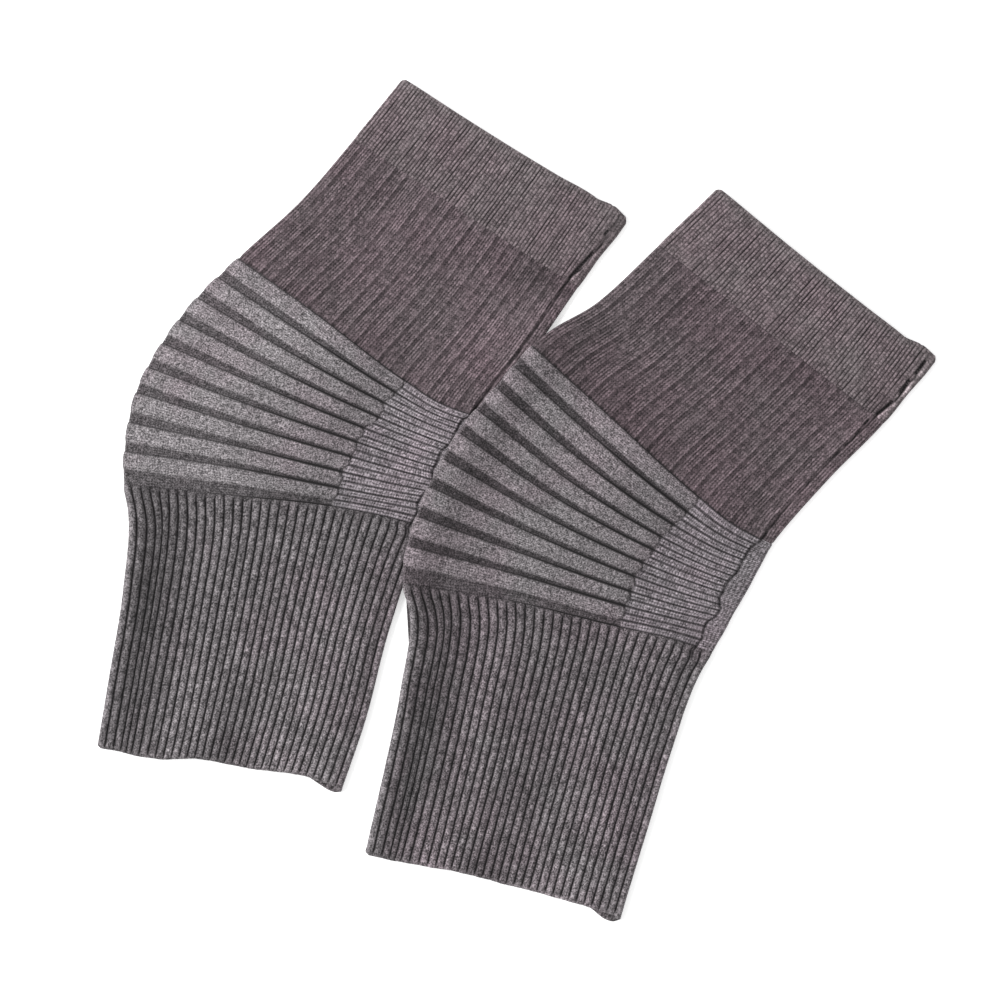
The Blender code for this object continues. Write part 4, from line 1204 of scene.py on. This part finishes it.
# How much each stitch's own lightness and its fibres add to the beads along the courses and to the ragged
# edges of the painted shade in the valleys, and from where to where each comes. Then how strong the courses
# and hues are, and the knit's fine bumps.
BEAD_OWN, BEAD_FIBRE, BEAD_RANGE = 0.6, 0.5, (-0.8, 1.4)
VALLEY_OWN, VALLEY_FIBRE, VALLEY_RANGE = 0.2, 0.35, (0.1, 0.85)
COURSE_GROUND, HUE_PART = 1.8, 0.8
BUMP_KNIT, BUMP_FIBRE, BUMP_STRENGTH = -0.25, 0.3, 0.8


def knit_material(slot):
    """A matt melange knit: stitches each of their own lightness, in clumps and patches of two tints."""
    knit = dict(zip(KNIT_COLUMNS, KNITS[slot]))
    material = bpy.data.materials.new(slot)
    material.use_nodes = True
    shader = material.node_tree.nodes["Principled BSDF"]
    nodes = Nodes(material.node_tree)
    spot = nodes.add("ShaderNodeTexCoord").outputs["Object"]
    stitches = nodes.add("ShaderNodeUVMap", uv_map="stitches").outputs["UV"]
    axes = nodes.add("ShaderNodeSeparateXYZ", {"Vector": stitches})
    across, along = axes.outputs["X"], axes.outputs["Y"]
    aside = nodes.math("ABSOLUTE", nodes.math("SUBTRACT", nodes.math("FRACT", across), 0.5))
    leg = nodes.total(along, nodes.times(aside, knit["slant"]))
    wale, course = nodes.wave(across), nodes.wave(leg)
    own = nodes.ramp(own_number(nodes, across, leg), -1.0, 1.0)
    fibre = nodes.ramp(nodes.noise(spot, FIBRES, 1.5, 0.6), -1.0, 1.0, *FIBRE_RANGE)
    patchy = nodes.ramp(nodes.noise(spot, WALE_PATCHES, 1.0), WALE_LEAST, 1.0, *PATCH_RANGE)
    beads = nodes.total(course, nodes.times(own, BEAD_OWN), nodes.times(fibre, BEAD_FIBRE))
    beads = nodes.ramp(beads, 0.0, knit["dashes"], *BEAD_RANGE)
    tone = nodes.reading("tone")
    tone = nodes.total(tone, nodes.times(beads, nodes.math("SUBTRACT", 1.0, tone)))
    in_ground = nodes.math("SUBTRACT", COURSE_GROUND, tone)
    lightness = nodes.total(
        1.0,
        nodes.times(own, knit["stitch"]),
        nodes.times(fibre, knit["fibre"]),
        nodes.times(course, in_ground, -knit["course"]),
        nodes.times(wale, patchy, -knit["wale"]),
    )
    lightness = nodes.math("POWER", nodes.math("MAXIMUM", lightness, LEAST_LIGHT), DISPLAY_POWER)
    colour = nodes.mix(tone, linear(*knit["ground"]), linear(*knit["light"]))
    # The lightness reading: the yarn's slow drift, with painted light and shade and the lips' painted
    # highlight.
    colour = nodes.scaled(colour, nodes.times(lightness, nodes.reading("lightness_with_painted_light")))
    patch = nodes.times(nodes.total(nodes.noise(spot, BROAD, 2.0), nodes.noise(spot, NARROW, 2.0)), 0.5)
    greener = nodes.ramp(patch, 0.0, 1.0, *PATCH_RANGE)
    greener = nodes.total(greener, nodes.times(nodes.reading("hue"), HUE_PART))
    colour = nodes.mix(1.0, colour, nodes.mix(greener, MAUVE, GREEN), "MULTIPLY")
    # Painted shade: the shade reading, made ragged by fibres and stitches and broken by the beads, darkens
    # valleys, creases, slits and the seam towards near-black.
    uneven = nodes.total(1.0, nodes.times(fibre, VALLEY_FIBRE), nodes.times(own, VALLEY_OWN))
    ragged = nodes.times(nodes.reading("shade"), uneven)
    dashes = nodes.math("SUBTRACT", 1.0, beads)
    valley = nodes.times(nodes.ramp(ragged, 0.0, 1.0, *VALLEY_RANGE), dashes, knit["valley"])
    colour = nodes.mix(valley, colour, linear(*PAINTED_SHADE_COLOUR))
    nodes.put(shader.inputs["Base Color"], colour)
    height = nodes.times(nodes.total(wale, course), BUMP_KNIT)
    height = nodes.total(height, nodes.times(fibre, BUMP_FIBRE))
    inputs = {"Height": height, "Strength": BUMP_STRENGTH, "Distance": knit["height"] * MM}
    relief = nodes.add("ShaderNodeBump", inputs)
    nodes.put(shader.inputs["Normal"], relief.outputs["Normal"])
    nodes.put(shader.inputs["Roughness"], nodes.ramp(fibre, 0.85, 1.0, -1.0, 1.0))
    shader.inputs["Specular IOR Level"].default_value = 0.08
    shader.inputs["Sheen Weight"].default_value = 0.1
    shader.inputs["Sheen Roughness"].default_value = 0.6
    return material


def own_number(nodes, across, leg):
    """A number from 0 to 1 of its own for each stitch."""
    floors = {"X": nodes.math("FLOOR", across), "Y": nodes.math("FLOOR", leg)}
    cell = nodes.add("ShaderNodeCombineXYZ", floors).outputs[0]
    return nodes.add("ShaderNodeTexWhiteNoise", {"Vector": cell}, noise_dimensions="2D").outputs["Value"]


def floor_material():
    """Plain matt white, lit a little from below as on a light table."""
    material = bpy.data.materials.new("studio_white")
    material.use_nodes = True
    shader = material.node_tree.nodes["Principled BSDF"]
    shader.inputs["Base Color"].default_value = (0.92, 0.92, 0.92, 1.0)
    shader.inputs["Roughness"].default_value = 0.9
    shader.inputs["Emission Color"].default_value = (1.0, 1.0, 1.0, 1.0)
    shader.inputs["Emission Strength"].default_value = 0.4
    return material


# ---------------------------------------------------------------------------------------------------------
# Pieces, floor, light and camera

# Slices along and across for a cut's measures.
SLICES = 40

FLOOR_SIZE, FLOOR_DROP = 6.0, 0.0003
SKY_STRENGTH = 0.75
KEY_PLACE, KEY_TARGET, KEY_SIZE, KEY_POWER = (-1.8, 0.5, 1.2), (-0.05, 0.0, 0.0), 1.6, 70.0

# The photo's frame is half a metre wide, seen from straight above, its middle a little left of the pair's.
CAMERA_HEIGHT = 2.0
FRAME_WIDTH = 0.5
FRAME_MIDDLE = (-0.00798, -0.0005)
CLOTH_HEIGHT = 0.004
SENSOR = 36.0


def flat_size(warmer, zone):
    """(width all round, length, area) of a zone's cut, in metres."""
    name, _, from_line, to_line, from_round, to_round = zone
    downs = np.linspace(warmer.down[from_line], warmer.down[to_line], SLICES)
    share = np.linspace(0.0, 1.0, SLICES + 1)
    middle = (share[:-1] + share[1:]) / 2.0
    shown = {"knee_fan": middle < FAN_END, "knee_back": middle > FAN_END}.get(name, middle < 2.0)
    spots = warmer.place(*np.meshgrid(downs, middle, indexing="ij"))[0]
    lengths = np.hypot(*np.moveaxis(np.diff(spots, axis=0), -1, 0)).sum(axis=0)[shown]
    widths = warmer.width(downs) * (to_round - from_round)
    area = 2.0 * lengths.sum() * warmer.width(downs).mean() / SLICES
    return widths.max() * MM, lengths.max() * MM, min(area, widths.max() * lengths.max()) * MM * MM


def add_zone(warmer, zone, material):
    """One zone of a warmer as a piece that stands for its solid."""
    node = f"{warmer.name}_{zone[0]}"
    mesh = zone_shell(warmer, zone).mesh(f"{node}_knit")
    mesh.materials.append(material)
    piece = bpy.data.objects.new(f"{node}_knit", mesh)
    bpy.context.scene.collection.objects.link(piece)
    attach(piece, "root")
    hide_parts(node)
    width, length, area = flat_size(warmer, zone)


def add_floor():
    bpy.ops.mesh.primitive_plane_add(size=FLOOR_SIZE, location=(0.0, 0.0, -FLOOR_DROP))
    floor = bpy.context.object
    floor.name = "floor"
    floor.data.materials.append(floor_material())


def add_area(name, location, target, size, power):
    """A square soft light that looks at the target."""
    data = bpy.data.lights.new(name, "AREA")
    data.size = size
    data.energy = power
    light = bpy.data.objects.new(name, data)
    light.location = location
    way = Vector(target) - Vector(location)
    light.rotation_euler = way.to_track_quat("-Z", "Y").to_euler()
    bpy.context.scene.collection.objects.link(light)


def add_lights():
    """Even white light from all round, and a soft key light from the left."""
    scene = bpy.context.scene
    scene.world = bpy.data.worlds.new("studio")
    scene.world.use_nodes = True
    sky = scene.world.node_tree.nodes["Background"]
    sky.inputs["Color"].default_value = (1.0, 1.0, 1.0, 1.0)
    sky.inputs["Strength"].default_value = SKY_STRENGTH
    add_area("key", KEY_PLACE, KEY_TARGET, KEY_SIZE, KEY_POWER)
    scene.view_settings.view_transform = "Standard"


def add_camera():
    data = bpy.data.cameras.new("camera")
    data.sensor_width = SENSOR
    data.lens = data.sensor_width * (CAMERA_HEIGHT - CLOTH_HEIGHT) / FRAME_WIDTH
    camera = bpy.data.objects.new("camera", data)
    camera.location = (*FRAME_MIDDLE, CAMERA_HEIGHT)
    bpy.context.scene.collection.objects.link(camera)
    bpy.context.scene.camera = camera


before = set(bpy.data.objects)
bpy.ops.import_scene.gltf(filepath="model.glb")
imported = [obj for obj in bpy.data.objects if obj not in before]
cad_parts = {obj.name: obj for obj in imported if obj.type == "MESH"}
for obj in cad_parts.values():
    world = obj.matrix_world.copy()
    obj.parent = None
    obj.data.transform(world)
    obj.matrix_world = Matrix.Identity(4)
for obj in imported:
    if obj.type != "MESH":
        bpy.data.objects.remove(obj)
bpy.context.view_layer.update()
add_camera()
add_lights()
add_floor()
under = Warmer("under", UNDER_LINES, UNDER_LOOKS, 0.3)
over = Warmer("over", OVER_LINES, OVER_LOOKS, 0.8, lies_on=under)
materials = {zone[1]: knit_material(zone[1]) for zone in ZONES}
for warmer in (under, over):
    for zone in ZONES:
        add_zone(warmer, zone, materials[zone[1]])
